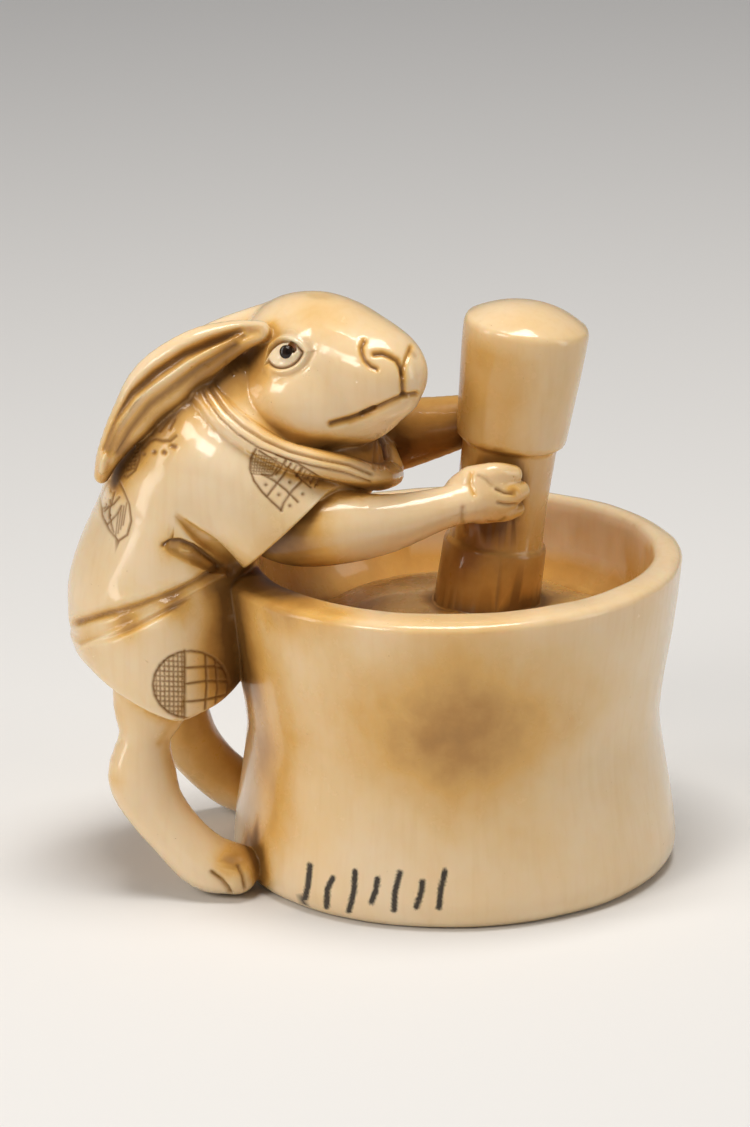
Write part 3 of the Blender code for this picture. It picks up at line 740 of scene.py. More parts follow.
# Folds of the cloth and the rolled edge of the ear; a depth below nought is a ridge
FOLD_STROKES = [
    ([(69, 624), (98, 616), (136, 606), (174, 592), (198, 580), (219, 568)], 4.2, 0.3, 0.5),
    ([(75, 651), (96, 642), (126, 627), (150, 614), (172, 602), (197, 588), (224, 574)],
     3.0, -0.16, 0.0),
    ([(243, 334), (221, 346), (190, 363), (165, 381), (136, 400), (118, 423), (108, 446),
      (103, 470)], 3.0, -0.34, 0.0),
    ([(236, 346), (200, 368), (175, 387), (150, 406), (130, 430), (118, 452)], 6.0, 0.2, 0.7),
    ([(240, 334), (212, 343), (186, 354), (156, 374), (133, 394), (116, 420), (106, 448)],
     5.0, 0.24, 0.62),
    ([(234, 340), (205, 352), (178, 366), (152, 386), (130, 408)], 1.2, 0.03, 0.4),
    ([(228, 338), (200, 348), (172, 361), (148, 379)], 1.0, 0.03, 0.35),
    ([(163, 545), (170, 541), (180, 541), (192, 546), (206, 556), (222, 566)], 2.4, 0.24, 0.95),
    ([(183, 549), (188, 550)], 3.0, -0.22, 0.0),
    ([(120, 604), (155, 594), (190, 577)], 8.0, -0.16, 0.0),
]


LIMB_STROKES = [
    ([(212, 872), (222, 880), (228, 888), (232, 897)], 2.0, 0.22, 0.8),
    ([(238, 866), (243, 876), (245, 888)], 1.8, 0.18, 0.7),
    ([(186, 700), (176, 722), (160, 744)], 4.0, 0.08, 0.2),
    ([(463, 508), (462, 520), (465, 532)], 2.2, 0.1, 0.4),
    ([(471, 474), (470, 484), (474, 494)], 2.6, 0.1, 0.4),
    ([(496, 489), (504, 493), (512, 494)], 1.6, 0.16, 0.8),
    ([(498, 503), (508, 505), (520, 504)], 1.3, 0.14, 0.7),
    ([(492, 486), (486, 480), (478, 476)], 2.0, 0.07, 0.3),
    ([(505, 518), (497, 523), (488, 522)], 1.5, 0.1, 0.5),
]


SLEEVE_LINES = [
    [(256, 449), (251, 458), (250, 469), (254, 481), (262, 492), (272, 502), (282, 511)],
    [(262, 474), (275, 481), (286, 490), (298, 502)],
    [(277, 462), (295, 473), (311, 487)],
    [(291, 464), (283, 476), (272, 490), (267, 497)],
    [(305, 478), (293, 490), (284, 503), (281, 511)],
    [(276, 455), (297, 463), (323, 480)],
    [(259, 451), (270, 458), (279, 466), (272, 476), (262, 474)],
    [(286, 460), (280, 470), (276, 474)],
    [(303, 468), (297, 476)],
]
SLEEVE_DOTS = [(278, 472), (290, 482), (303, 494), (266, 485), (279, 495), (290, 506),
               (311, 481), (317, 484)]
# Rows of fine hatching: how many, the first line's two ends and the step of each end
SLEEVE_HATCHING = [
    (9, (253, 453), (251, 474), (2.9, 0.9), (2.7, -0.6)),
    (7, (252, 455), (277, 459), (0, 3.2), (-0.8, 2.6)),
    (8, (288, 459), (284, 466), (4.4, 3.0), (4.4, 3.0)),
]
SKIRT_CIRCLE = (191, 685, 38, 34)
SKIRT_SEAM = [(185, 651), (185, 719)]
SKIRT_UPRIGHTS = (156, 160, 164.5, 169, 173.5, 178, 182)
SKIRT_LEVELS = range(656, 718, 5)
SKIRT_LINES = [
    [(206, 655), (207, 686), (205, 716)], [(216, 660), (218, 688), (215, 712)],
    [(186, 668), (214, 666), (224, 668)], [(186, 684), (206, 681), (227, 681)],
    [(186, 702), (204, 700), (225, 695)],
]
BACK_LINES = [
    [(108, 481), (100, 498), (102, 515), (109, 530), (118, 541), (127, 535), (131, 521),
     (129, 505), (123, 490), (115, 474), (108, 481)],
    [(120, 447), (131, 438), (138, 445), (139, 458), (135, 470), (127, 477), (118, 472),
     (116, 462), (120, 447)],
    [(113, 478), (114, 492), (111, 504), (104, 511)], [(103, 508), (113, 504), (119, 497)],
    [(107, 524), (116, 515), (121, 506)], [(110, 500), (109, 516), (113, 532)],
]
BACK_DOTS = [(111, 491), (106, 504), (110, 515)]
BACK_HATCHING = [
    (4, (118, 512), (115, 537), (2.8, -3), (2.6, -4)),
    (6, (118, 449), (118, 471), (3.6, -1), (3.2, -0.4)),
    (6, (117, 450), (138, 447), (0, 4.4), (-0.8, 4.2)),
]
# The flower on the shoulder: lines and dots with their widths
SHOULDER_MARKS = [
    ([(156, 426), (152, 434)], 1.0), ([(168, 420), (160, 431)], 1.0),
    ([(175, 419), (170, 429)], 1.0),
    ([(144, 447), (149, 441), (155, 439), (162, 441), (170, 441), (176, 436)], 1.3),
    ([(144, 454)], 1.2), ([(154, 452)], 2.3), ([(164, 452.5)], 2.2), ([(172, 446), (175, 447)], 2.2),
]


def hatching(rows):
    made = []
    for count, (x, y), (end_x, end_y), (right, down), (end_right, end_down) in rows:
        for step in range(count):
            made.append(([(x + step * right, y + step * down),
                          (end_x + step * end_right, end_y + step * end_down)],
                         0.85, 0.05, 0.85))
    return made


def sleeve_strokes():
    made = [(line, 1.25, 0.07, 1.0) for line in SLEEVE_LINES]
    made += [([dot], 1.6, 0.08, 1.0) for dot in SLEEVE_DOTS]
    return made + hatching(SLEEVE_HATCHING)


def skirt_strokes():
    x_centre, y_centre, wide, tall = SKIRT_CIRCLE
    made = [(ring(*SKIRT_CIRCLE), 1.3, 0.07, 1.0), (SKIRT_SEAM, 1.5, 0.08, 1.0)]
    for x in SKIRT_UPRIGHTS:
        reach = math.sqrt(max(0.0, 1.0 - ((x - x_centre) / wide) ** 2)) * tall
        made.append(([(x, y_centre - reach), (x + 0.6, y_centre + reach)], 0.95, 0.05, 0.9))
    for y in SKIRT_LEVELS:
        reach = math.sqrt(max(0.0, 1.0 - ((y - y_centre) / tall) ** 2)) * wide
        made.append(([(x_centre - reach, y), (SKIRT_SEAM[0][0], y + 1)], 0.95, 0.05, 0.9))
    return made + [(line, 1.25, 0.07, 1.0) for line in SKIRT_LINES]


def back_strokes():
    made = [(line, 1.15, 0.06, 1.0) for line in BACK_LINES] + hatching(BACK_HATCHING)
    made += [([dot], 1.1, 0.07, 1.0) for dot in BACK_DOTS]
    return made + [(line, width * 1.25, 0.07, 1.0) for line, width in SHOULDER_MARKS]


MARK_START = (307, 878)
MARK_STEP = 22.5
MARK_DROP = 14
MARK_STROKES = [(20, 18, 1), (10, 18, -2), (19, 20, 2), (13, 10, 1), (19, 18, -2), (9, 16, 2),
                (17, 19, -1)]


def mark_strokes():
    """A row of plain brush strokes low on the mortar."""
    made = []
    for step, (rise, fall, bend) in enumerate(MARK_STROKES):
        x = MARK_START[0] + step * MARK_STEP
        y = MARK_START[1] + MARK_DROP * math.sin(math.pi * (step + 2) / 11)
        made.append([(x + 3, y - rise), (x + bend, y), (x - 3, y + fall)])
    return made


def eye_plane(points, side):
    """Places in an eye's own plane: forward, up and outward, in millimetres."""
    place, outward = eye_frame(side)
    turn = Matrix.Rotation(math.radians(HEAD_TURN), 3, "Z")
    forward = turn @ Vector((1.0, 0.0, 0.0))
    forward = (forward - outward * forward.dot(outward)).normalized()
    upward = outward.cross(forward)
    if upward.z < 0:
        upward = -upward
    forward, upward = (forward * math.cos(EYE_TILT) + upward * math.sin(EYE_TILT),
                       upward * math.cos(EYE_TILT) - forward * math.sin(EYE_TILT))
    shift = points - np.array(place)
    return (shift @ np.array(forward) - EYE_SHIFT[0], shift @ np.array(upward) - EYE_SHIFT[1],
            shift @ np.array(outward))


def carve_eye(points, side):
    """How far the lids and the eye move the skin, and the stain they hold."""
    along, over, out = eye_plane(points, side)
    radius = (EYE_LENGTH ** 2 + EYE_HEIGHT ** 2) / (2 * EYE_HEIGHT)
    rise = radius - EYE_HEIGHT
    upper = np.hypot(along, over + rise) - radius
    lower = np.hypot(along, over - rise) - radius
    edge = np.maximum(upper, lower)
    near = np.clip(1.0 - (np.abs(out) - 0.9) / 0.4, 0, 1) * (np.hypot(along, over) < 2.6)
    inside = 1.0 / (1.0 + np.exp(np.clip(edge / 0.035, -30, 30)))
    bulge = 0.17 * (1.0 - (along / EYE_LENGTH) ** 2 * 0.8 - (over / EYE_HEIGHT) ** 2 * 0.7) - 0.1
    lid = np.where(upper > lower, 0.15, 0.09) * np.exp(-((edge - 0.2) / 0.14) ** 2)
    rim = -0.17 * np.exp(-((edge + 0.02) / 0.065) ** 2)
    crease = -0.06 * np.exp(-((edge - 0.55) / 0.16) ** 2) * (over < 0)
    move = near * (inside * bulge + (1 - inside) * (lid + crease) + rim)
    stain = near * (np.exp(-((edge + 0.02) / 0.085) ** 2) * 1.0
                    + 0.25 * np.exp(-((edge - 0.5) / 0.2) ** 2))
    return move, stain, near * inside


# Amber stains, and painted shade on the far limbs, in the sleeve and below the mortar's rim: centre,
# reach and amount
STAINS_AND_SHADE = [
    # painted shade in the sleeve's opening, between the skirt and the mortar and on the far leg
    (-9.7, -6.6, 22.6, 2.6, 0.75), (-11.2, -5.6, 20.6, 2.4, 0.8), (-7.4, -5.2, 21.2, 2.2, 0.5),
    (-13.6, -5.2, 16.8, 2.6, 0.75), (-13.0, -4.6, 13.6, 2.6, 0.8), (-12.8, -3.4, 19.6, 2.2, 0.8),
    (-13.9, -5.9, 14.8, 2.2, 0.5), (-16.5, 6.0, 9.0, 4.5, 0.55), (-14.4, 7.4, 4.0, 3.2, 0.5),
    (-17.5, -4.6, 12.2, 2.4, 0.4), (-16.4, -4.4, 8.5, 2.2, 0.5), (-13.0, -6.6, 2.6, 1.7, 0.6),
    (-20.3, -5.9, 7.7, 0.8, 0.8), (-14.0, -7.6, 2.5, 0.8, 0.6), (-20.6, -4.8, 11.4, 1.3, 0.35),
    (-15.9, -4.2, 4.6, 1.8, 0.5), (-9.6, -9.4, 20.2, 3.0, 0.45),
    # painted shade on the far arm and under the chin
    (-3.4, 3.6, 26.2, 4.0, 0.8), (1.2, 3.0, 26.8, 3.0, 0.75), (-5.2, -2.6, 26.6, 2.4, 0.6),
    (-4.6, -1.8, 28.0, 2.2, 0.35), (-13.0, -5.6, 33.3, 1.8, 0.75), (-14.6, -5.0, 32.0, 1.8, 0.7),
    (-11.9, -4.6, 33.0, 1.6, 0.55), (-17.0, -5.2, 30.0, 1.7, 0.6), (-19.2, -4.8, 28.0, 1.6, 0.6),
    (-20.4, -3.8, 26.0, 1.5, 0.6), (-8.0, -3.4, 36.0, 1.5, 0.15), (-6.6, -4.2, 35.2, 1.0, 0.12),
    (-10.6, -6.4, 29.6, 1.6, 0.3), (-7.4, -5.8, 27.8, 1.8, 0.45), (-12.0, -9.0, 15.0, 2.6, 0.25),
    (-11.0, -8.6, 11.0, 3.0, 0.3), (-11.6, -7.6, 5.5, 2.8, 0.4), (-12.4, -5.8, 9.0, 2.6, 0.6),
    (-10.0, -8.6, 19.6, 2.0, 0.5), (-7.0, -11.2, 19.7, 1.8, 0.35), (-12.2, -5.6, 19.0, 1.8, 0.7),
    (3.4, -2.6, 24.4, 2.6, 0.35), (3.6, -3.2, 22.0, 2.2, 0.5), (1.0, -2.4, 21.0, 2.6, 0.6),
    (3.9, -4.9, 25.2, 0.45, 0.9), (0.4, -4.9, 22.6, 0.9, 0.45), (2.6, 1.0, 17.5, 3.8, 0.5),
    # painted shade below the mortar's rim, where its side turns down
    (0.2, -12.9, 13.0, 6.2, 0.62), (-5.0, -12.0, 12.6, 4.0, 0.2), (6.0, -11.8, 12.5, 3.6, 0.16),
    (-21.6, -3.6, 15.9, 1.6, 0.35), (-19.6, -6.0, 17.6, 1.2, 0.6), (-16.8, -6.5, 19.0, 1.2, 0.7),
    (-14.4, -5.6, 20.0, 1.4, 0.9), (-16.8, -6.8, 22.6, 0.9, 0.5), (-15.2, -6.5, 21.9, 1.0, 0.6),
]
# Places with fine carving: centre, reach and longest edge
FINE_PLACES = [
    (-9.3, -4.9, 34.2, 1.9, 0.06), (-5.0, -12.5, 2.8, 5.4, 0.12), (3.2, -4.8, 24.4, 2.4, 0.13),
    (-3.4, -4.4, 32.4, 3.4, 0.11), (-6.2, -5.6, 30.6, 1.6, 0.11), (-10.0, -7.8, 26.9, 2.7, 0.07),
    (-16.0, -6.6, 14.2, 2.9, 0.075), (-20.0, -4.6, 24.0, 1.9, 0.075),
    (-18.6, -5.0, 28.0, 1.5, 0.08), (-17.2, -5.7, 28.8, 1.3, 0.08),
]


def stroke_places(points, seen, chosen):
    """For each engraved line: the points near it, how far off, and its sizes."""
    x, y, z = points.T
    from_ear = line_distance(points, [row[:3] for row in NEAR_EAR])
    groups = (
        (FACE_STROKES, (x > -14.5) & (z > 24) & (y < 3)),
        (COLLAR_STROKES, (z > 24) & (y < -1.5) & (x < -3.2) & (from_ear > 1.9)),
        (sleeve_strokes(), (y < -5.2) & (z > 23.4)),
        (skirt_strokes(), (y < -3.0) & (z > 10) & (x < -12.6)),
        (back_strokes(), (x < -14.5) & (z > 20) & (y < 0) & (from_ear > 1.25)),
        (FOLD_STROKES, (x < -11.0) & (y < 0)),
        (LIMB_STROKES, (y < -1.5) & ((z > 21) | (x < -12.6))),
    )
    for strokes, there in groups:
        spots = np.flatnonzero(chosen & there)
        for path, width, depth, amount in strokes:
            path = np.array(path, float)
            room = 2.0 * width + 5.0
            near = spots[((seen[spots] > path.min(0) - room)
                          & (seen[spots] < path.max(0) + room)).all(1)]
            yield near, line_distance(seen[near], path), width, depth, amount


def without_slivers(mesh):
    """The mesh with its thinnest faces closed up, as they fold over and show as dents."""
    shape = bmesh.new()
    shape.from_mesh(mesh)
    bmesh.ops.dissolve_degenerate(shape, dist=SLIVER_HEIGHT, edges=shape.edges)
    bmesh.ops.triangulate(shape, faces=[face for face in shape.faces if len(face.verts) > 3])
    shape.to_mesh(mesh)
    shape.free()
    return mesh


def refined(mesh):
    """The mesh with its edges split where the carving is fine."""
    for _ in range(5):
        points = read_points(mesh)
        edges = np.zeros(len(mesh.edges) * 2, np.int32)
        mesh.edges.foreach_get("vertices", edges)
        first, last = points[edges[::2]], points[edges[1::2]]
        middle, length = (first + last) / 2, np.linalg.norm(first - last, axis=1)
        wanted = np.zeros(len(length), bool)
        for x, y, z, reach, limit in FINE_PLACES:
            limit = limit * 1.2
            wanted |= ((np.linalg.norm(middle - np.array((x, y, z)), axis=1) < reach)
                       & (length > limit * 1.3))
        for near, away, width, _, _ in stroke_places(middle, in_view(middle), middle[:, 1] < 2):
            limit = max(0.13, width * 0.05) * 1.0
            wanted[near[(away < width * 2.0 + 4.0) & (length[near] > limit * 1.3)]] = True
        if not wanted.any():
            break
        shape = bmesh.new()
        shape.from_mesh(mesh)
        shape.edges.ensure_lookup_table()
        bmesh.ops.subdivide_edges(shape, cuts=1,
                                  edges=[shape.edges[k] for k in np.flatnonzero(wanted)])
        bmesh.ops.triangulate(shape, faces=[face for face in shape.faces if len(face.verts) > 3])
        shape.to_mesh(mesh)
        shape.free()
    return mesh


def read_points(mesh):
    points = np.zeros(len(mesh.vertices) * 3, np.float32)
    mesh.vertices.foreach_get("co", points)
    return points.reshape(-1, 3).astype(float)


def engrave(block, points):
    """Points moved onto the surface and into its fine lines, and their stain."""
    for _ in range(2):
        outward = slope(block, points)
        points = points - outward * sample(block, points)[:, None]
    outward = slope(block, points)
    toward = np.array((0.0, -math.cos(ELEVATION), math.sin(ELEVATION)))
    seen = in_view(points)
    facing = outward @ toward
    faces = facing > 0.08
    facing_share = np.clip((facing - 0.08) / 0.3, 0, 1)
    move = np.zeros(len(points))
    stain = np.zeros(len(points))
    amber = np.zeros(len(points))
    white = np.zeros(len(points))
    for near, away, width, depth, amount in stroke_places(points, seen, faces):
        move[near] -= depth * np.exp(-(away / width) ** 2) * facing_share[near]
        amount = amount * facing_share[near]
        held = stain if width < 2.4 else amber
        held[near] = np.maximum(held[near], amount * np.exp(-(away / width) ** 2 * 0.7))
    for side in (-1.0, 1.0):
        eye_move, eye_stain, inside = carve_eye(points, side)
        move += eye_move
        white += inside
        stain = np.maximum(stain, np.clip(eye_stain, 0, 1))
    mark = np.zeros(len(points))
    spots = np.flatnonzero(faces & (points[:, 2] < 8) & (points[:, 1] < -8))
    for path in mark_strokes():
        away = line_distance(seen[spots], path)
        mark[spots] = np.maximum(mark[spots], np.clip((3.0 - away) / 1.2 + 0.5, 0, 1))
    return points + outward * move[:, None], outward, stain, amber, white, mark


def stain_and_painted_shade(points):
    """Old amber colour in hollows, with painted shade on sheltered sides, deeper towards the bowl's
    floor and on the pestle's grip; the pestle's head darker towards its left side and its lower
    edge.
    """
    x, y, z = points.T
    stain = np.zeros(len(points))
    for sx, sy, sz, reach, amount in STAINS_AND_SHADE:
        away = np.sqrt((x - sx) ** 2 + (y - sy) ** 2 + (z - sz) ** 2) / reach
        stain = 1.0 - (1.0 - stain) * (1.0 - amount * np.exp(-away ** 2 * 1.4))
    # amber in the bowl, with painted shade growing darker towards its floor
    bowl = (np.hypot(x, y) < RIM_RADIUS - RIM_WIDTH + 0.3) & (z < MORTAR_HEIGHT - 0.1) & (z > 10)
    depth = np.clip((MORTAR_HEIGHT - z) / 4.0, 0, 1)
    stain = np.where(bowl, np.maximum(stain, 0.2 + 0.16 * depth), stain)
    lean = math.radians(PESTLE_LEAN)
    height = (x - PESTLE_FOOT[0]) * math.sin(lean) + (z - PESTLE_FOOT[2]) * math.cos(lean)
    away = np.hypot((x - PESTLE_FOOT[0]) * math.cos(lean) - (z - PESTLE_FOOT[2]) * math.sin(lean), y)
    # the grip holds stain and painted shade, darker below the lower step where it sinks into the
    # bowl
    stick = (away < HEAD_LOWER_RADIUS + 0.25) & (z > 15) & (height < HEAD_LOWER_EDGE)
    stain = np.where(stick, np.maximum(stain, 0.28 + 0.2 * (height < LOWER_STEP)), stain)
    # the pestle's head is darker towards its lower edge and its left side
    top = (away < HEAD_TOP_RADIUS + 0.25) & (height >= HEAD_LOWER_EDGE)
    fade = np.clip((PESTLE_TOP - height) / 1.5, 0, 1) * np.clip(2.2 - x / 3.0, 0.3, 1)
    stain = np.where(top, np.maximum(stain, 0.3 * fade), stain)
    return np.clip(stain, 0, 1)


def new_attribute(mesh, name, values):
    attribute = mesh.attributes.new(name, "FLOAT", "POINT")
    attribute.data.foreach_set("value", values.astype(np.float32))


def make_carving():
    carved = carve()
    mesh = skin(carved)
    carving = bpy.data.objects.new("ivory_carving", mesh)
    bpy.context.scene.collection.objects.link(carving)
    thin = carving.modifiers.new("thin", "DECIMATE")
    thin.ratio = min(1.0, BASE_TRIANGLES / (2.0 * len(mesh.polygons)))
    view_layer = bpy.context.evaluated_depsgraph_get()
    mesh = bpy.data.meshes.new_from_object(carving.evaluated_get(view_layer))
    carving.modifiers.clear()
    carving.data = mesh
    without_slivers(mesh)
    refined(mesh)
    points, outward, lines, amber, white, mark = engrave(carved, read_points(mesh))
    low, high = (np.array(corner) / MM for corner in cad_box)
    points = np.clip(points, low, high)
    recess = sum(np.clip(1.0 - sample(carved, points + outward * reach) / reach, 0, 1.5) * weight
                 for reach, weight in ((0.4, 0.45), (1.0, 0.35), (2.2, 0.2)))
    ridge = np.clip(1.0 + sample(carved, points - outward * 0.5) / 0.5, 0, 1)
    mesh.vertices.foreach_set("co", (points * MM).astype(np.float32).ravel())
    new_attribute(mesh, "recess", recess)
    new_attribute(mesh, "ridge", np.maximum(ridge, white * 2.2))
    new_attribute(mesh, "lines", lines)
    new_attribute(mesh, "mark", mark)
    # the stain attribute holds amber stain and painted shade
    new_attribute(mesh, "stain", np.maximum(stain_and_painted_shade(points), amber * 0.85))
    mesh.shade_smooth()
    return carving


class Nodes:
    """Short ways to add nodes to a material's tree and join them."""

    def __init__(self, tree):
        self.tree = tree

    def add(self, kind, **settings):
        node = self.tree.nodes.new("ShaderNode" + kind)
        for name, value in settings.items():
            setattr(node, name, value)
        return node

    def join(self, source, target):
        self.tree.links.new(source, target)

    def fill(self, socket, value):
        if isinstance(value, bpy.types.NodeSocket):
            self.join(value, socket)
        else:
            socket.default_value = value

    def value(self, name):
        return self.add("Attribute", attribute_name=name).outputs["Fac"]

    def math(self, operation, first, second=0.0, third=0.0, clamp=False):
        node = self.add("Math", operation=operation, use_clamp=clamp)
        for socket, value in zip(node.inputs, (first, second, third)):
            self.fill(socket, value)
        return node.outputs[0]

    def span(self, value, from_low, from_high, to_low=0.0, to_high=1.0):
        node = self.add("MapRange", interpolation_type="SMOOTHSTEP")
        for name, amount in (("Value", value), ("From Min", from_low), ("From Max", from_high),
                             ("To Min", to_low), ("To Max", to_high)):
            self.fill(node.inputs[name], amount)
        return node.outputs["Result"]

    def noise(self, coordinates, scale, detail=3.0, roughness=0.5):
        node = self.add("TexNoise")
        self.join(coordinates, node.inputs["Vector"])
        node.inputs["Scale"].default_value = scale
        node.inputs["Detail"].default_value = detail
        node.inputs["Roughness"].default_value = roughness
        return node.outputs["Fac"]

    def mix(self, share, first, second, blend="MIX"):
        node = self.add("Mix", data_type="RGBA", blend_type=blend)
        self.fill(node.inputs["Factor"], share)
        self.fill(node.inputs[6], first)
        self.fill(node.inputs[7], second)
        return node.outputs[2]

    def ramp(self, value, stops):
        node = self.add("ValToRGB")
        elements = node.color_ramp.elements
        while len(elements) < len(stops):
            elements.new(0.5)
        for element, (position, colour) in zip(elements, stops):
            element.position = position
            element.color = (*colour, 1.0)
        self.join(value, node.inputs["Fac"])
        return node.outputs["Color"]


def ivory_material():
    material = bpy.data.materials.new("ivory")
    material.use_nodes = True
    nodes = Nodes(material.node_tree)
    shader = material.node_tree.nodes["Principled BSDF"]
    place = nodes.add("TexCoord").outputs["Object"]
    stretched = nodes.add("Mapping")
    nodes.join(place, stretched.inputs["Vector"])
    stretched.inputs["Scale"].default_value = (1.0, 1.0, 0.06)

    cloud = nodes.noise(place, 160.0, 4.0, 0.55)
    mottle = nodes.noise(place, 620.0, 5.0, 0.6)
    grain = nodes.noise(stretched.outputs["Vector"], 1900.0, 2.0)
    fine = nodes.noise(place, 5200.0, 2.0)

    recess = nodes.span(nodes.value("recess"), 0.03, 0.8)
    # the stain attribute carries painted shade as well as amber stain
    stain_and_shade = nodes.math("MULTIPLY", nodes.value("stain"), nodes.span(mottle, 0.2, 0.8, 0.84, 1.08))
    amount = nodes.math("MULTIPLY_ADD", recess, 0.55, stain_and_shade)
    amount = nodes.math("MULTIPLY_ADD", nodes.math("SUBTRACT", cloud, 0.5), 0.34, amount)
    amount = nodes.math("MULTIPLY_ADD", nodes.value("ridge"), -0.16, amount)
    amount = nodes.math("ADD", amount, 0.1, clamp=True)
    colour = nodes.ramp(amount, (
        (0.0, (0.88, 0.71, 0.49)), (0.2, (0.83, 0.59, 0.30)), (0.42, (0.74, 0.43, 0.12)),
        (0.66, (0.5, 0.25, 0.055)), (1.0, (0.22, 0.1, 0.02))))
    colour = nodes.mix(nodes.span(grain, 0.42, 0.75, 0.0, 0.09), colour, (0.78, 0.58, 0.3, 1.0),
                       "MULTIPLY")
    specks = nodes.math("MULTIPLY", nodes.span(fine, 0.70, 0.78), nodes.span(mottle, 0.52, 0.66))
    colour = nodes.mix(nodes.math("MULTIPLY", specks, 0.6), colour, (0.3, 0.14, 0.04, 1.0))
    lines = nodes.math("MULTIPLY", nodes.value("lines"), nodes.span(mottle, 0.2, 0.6, 0.7, 1.0))
    colour = nodes.mix(nodes.math("MULTIPLY", lines, 0.92), colour, (0.24, 0.105, 0.02, 1.0))
    mark = nodes.math("MULTIPLY", nodes.value("mark"), nodes.span(fine, 0.12, 0.3))
    colour = nodes.mix(nodes.math("MULTIPLY", mark, 0.96), colour, (0.016, 0.011, 0.01, 1.0))
    nodes.join(colour, shader.inputs["Base Color"])

    gloss = nodes.math("MULTIPLY_ADD", amount, 0.22, nodes.span(mottle, 0.3, 0.8, 0.15, 0.25))
    gloss = nodes.math("MULTIPLY_ADD", nodes.value("lines"), 0.4, gloss, clamp=True)
    nodes.join(gloss, shader.inputs["Roughness"])
    shader.inputs["IOR"].default_value = 1.54
    shader.inputs["Specular IOR Level"].default_value = 0.3
    nodes.join(nodes.span(amount, 0.1, 0.7, 0.34, 0.1), shader.inputs["Subsurface Weight"])
    shader.inputs["Subsurface Radius"].default_value = (1.0, 0.55, 0.26)
    shader.inputs["Subsurface Scale"].default_value = 0.0011
    inked = nodes.math("MAXIMUM", nodes.value("lines"), nodes.value("mark"))
    dull = nodes.math("MAXIMUM", inked, nodes.math("MULTIPLY", recess, 0.7))
    nodes.join(nodes.span(dull, 0.0, 0.8, 0.5, 0.0), shader.inputs["Coat Weight"])
    shader.inputs["Coat Roughness"].default_value = 0.07
    bump = nodes.add("Bump")
    bump.inputs["Distance"].default_value = 0.00003
    bump.inputs["Strength"].default_value = 0.35
    height = nodes.math("MULTIPLY_ADD", grain, 0.5, mottle)
    nodes.join(nodes.math("MULTIPLY_ADD", specks, -1.2, height), bump.inputs["Height"])
    nodes.join(bump.outputs["Normal"], shader.inputs["Normal"])
    return material


def horn_material():
    material = bpy.data.materials.new("horn")
    material.use_nodes = True
    nodes = Nodes(material.node_tree)
    shader = material.node_tree.nodes["Principled BSDF"]
    place = nodes.add("TexCoord").outputs["Object"]
    streaks = nodes.noise(place, 3500.0, 3.0)
    nodes.join(nodes.ramp(streaks, ((0.3, (0.006, 0.004, 0.003)), (0.8, (0.035, 0.018, 0.01)))),
               shader.inputs["Base Color"])
    nodes.join(nodes.span(streaks, 0.3, 0.8, 0.08, 0.2), shader.inputs["Roughness"])
    shader.inputs["Specular IOR Level"].default_value = 0.3
    shader.inputs["Coat Weight"].default_value = 0.1
    return material


def make_pupil(name, side, carving_points):
    """A domed disc of horn let into the eye."""
    along, over, out = eye_plane(carving_points, side)
    here = (np.hypot(along - PUPIL_SHIFT[0], over - PUPIL_SHIFT[1]) < 0.5) & (np.abs(out) < 1.2)
    centre = carving_points[here].mean(0)
    _, outward = eye_frame(side)
    level = ((carving_points[here] - centre) @ np.array(outward)).max()
    shape = bmesh.new()
    rings, sides = 8, 40
    rows = []
    profile = [(math.sin(math.pi / 2 * k / rings) * PUPIL_RADIUS,
                0.1 * math.cos(math.pi / 2 * k / rings)) for k in range(1, rings + 1)]
    profile += [(PUPIL_RADIUS, -0.12), (PUPIL_RADIUS, -0.35)]
    top = shape.verts.new((0.0, 0.0, 0.1))
    for radius, height in profile:
        rows.append([shape.verts.new((radius * math.cos(2 * math.pi * k / sides),
                                      radius * math.sin(2 * math.pi * k / sides), height))
                     for k in range(sides)])
    for k in range(sides):
        following = (k + 1) % sides
        shape.faces.new((top, rows[0][k], rows[0][following]))
        for inner, outer in zip(rows, rows[1:]):
            shape.faces.new((inner[k], outer[k], outer[following], inner[following]))
    shape.faces.new(list(reversed(rows[-1])))
    turn = outward.to_track_quat("Z", "Y").to_matrix().to_4x4()
    spot = Vector(centre) + outward * (level - 0.04)
    bmesh.ops.transform(shape, matrix=Matrix.Scale(MM, 4) @ Matrix.Translation(spot) @ turn,
                        verts=shape.verts)
    mesh = bpy.data.meshes.new(name)
    shape.to_mesh(mesh)
    shape.free()
    mesh.shade_smooth()
    made = bpy.data.objects.new(name, mesh)
    bpy.context.scene.collection.objects.link(made)
    return made


carving = make_carving()
carving.data.materials.clear()
carving.data.materials.append(ivory_material())
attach(carving, "root")
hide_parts("rabbit_and_mortar")
horn = horn_material()
for name, node, side in (("horn_pupil_right", "pupil_right", -1.0),
                         ("horn_pupil_left", "pupil_left", 1.0)):
    pupil = make_pupil(name, side, read_points(carving.data) / MM)
    pupil.data.materials.append(horn)
    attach(pupil, "root")
    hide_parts(node)

# Studio

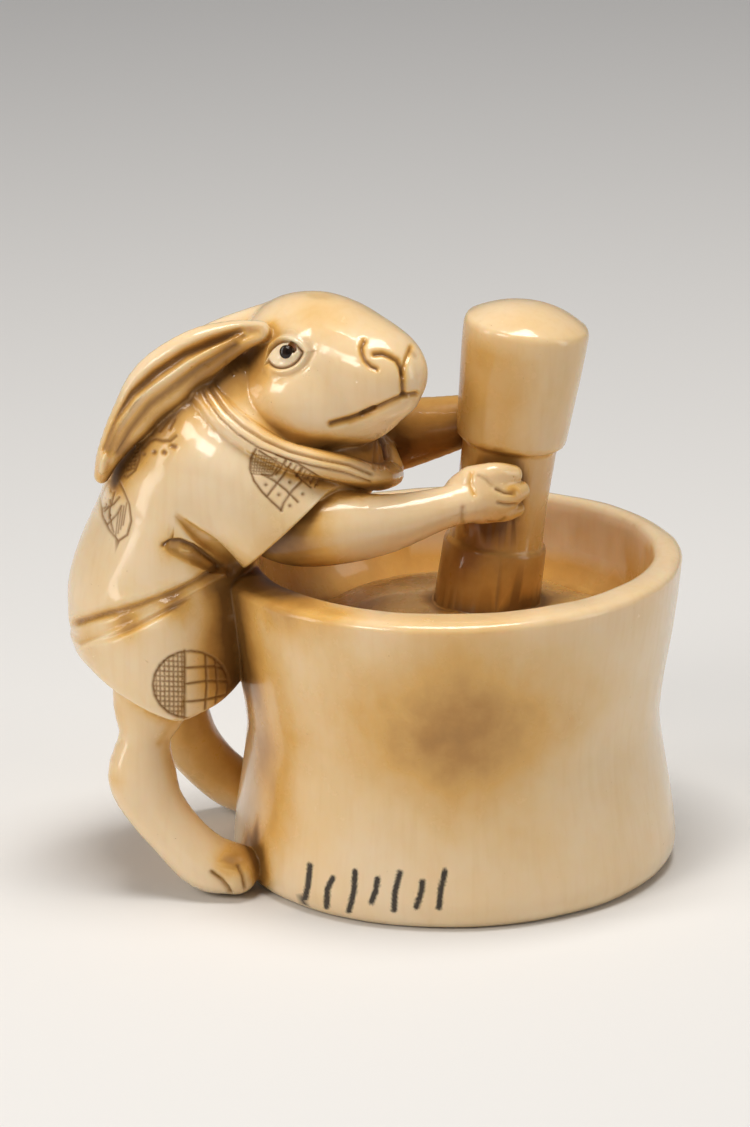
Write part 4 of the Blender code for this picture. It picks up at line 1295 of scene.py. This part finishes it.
scene = bpy.context.scene
floor_mesh = bpy.data.meshes.new("floor")
shape = bmesh.new()
bmesh.ops.create_grid(shape, x_segments=1, y_segments=1, size=0.6)
shape.to_mesh(floor_mesh)
shape.free()
floor = bpy.data.objects.new("floor", floor_mesh)
scene.collection.objects.link(floor)

lens = bpy.data.cameras.new("camera")
camera = bpy.data.objects.new("camera", lens)
scene.collection.objects.link(camera)
back = Vector((0.0, -math.cos(ELEVATION), math.sin(ELEVATION)))
camera.location = (TARGET + back * DISTANCE) * MM
camera.rotation_mode = "QUATERNION"
camera.rotation_quaternion = back.to_track_quat("Z", "Y") @ Quaternion((0, 0, 1), ROLL)
lens.sensor_fit = "VERTICAL"
lens.sensor_height = 36.0
lens.sensor_width = 36.0
lens.lens = 36.0 * DISTANCE * PIXELS_PER_MM / PICTURE[1]
lens.clip_start = 0.01
scene.camera = camera

world = bpy.data.worlds.new("studio")
scene.world = world
world.use_nodes = True
world.node_tree.nodes["Background"].inputs["Color"].default_value = (0.9, 0.92, 1.0, 1.0)
world.node_tree.nodes["Background"].inputs["Strength"].default_value = 0.12
scene.view_settings.view_transform = "Standard"


# The lights: place and aim in metres, width, height, watts and colour
WARM = (1.0, 0.95, 0.88)
SOFTBOXES = [
    ("key", (-0.2, -0.2, 0.22), (-0.005, 0.0, 0.022), 0.1, 0.09, 0.3, WARM),
    ("top", (0.01, -0.02, 0.33), (0.0, 0.0, 0.02), 0.18, 0.12, 0.85, (1.0, 0.96, 0.9)),
    ("left", (-0.32, -0.08, 0.1), (0.0, 0.0, 0.016), 0.08, 0.2, 0.22, WARM),
    ("right", (0.3, -0.1, 0.1), (0.0, 0.0, 0.016), 0.1, 0.22, 0.16, WARM),
]


def softbox(name, place, aim, width, height, power, colour):
    light = bpy.data.lights.new(name, "AREA")
    light.shape = "RECTANGLE"
    light.size = width
    light.size_y = height
    light.energy = power
    light.color = colour
    lamp = bpy.data.objects.new(name, light)
    lamp.location = place
    direction = Vector(aim) - Vector(place)
    lamp.rotation_mode = "QUATERNION"
    lamp.rotation_quaternion = direction.to_track_quat("-Z", "Y")
    scene.collection.objects.link(lamp)


for box in SOFTBOXES:
    softbox(*box)
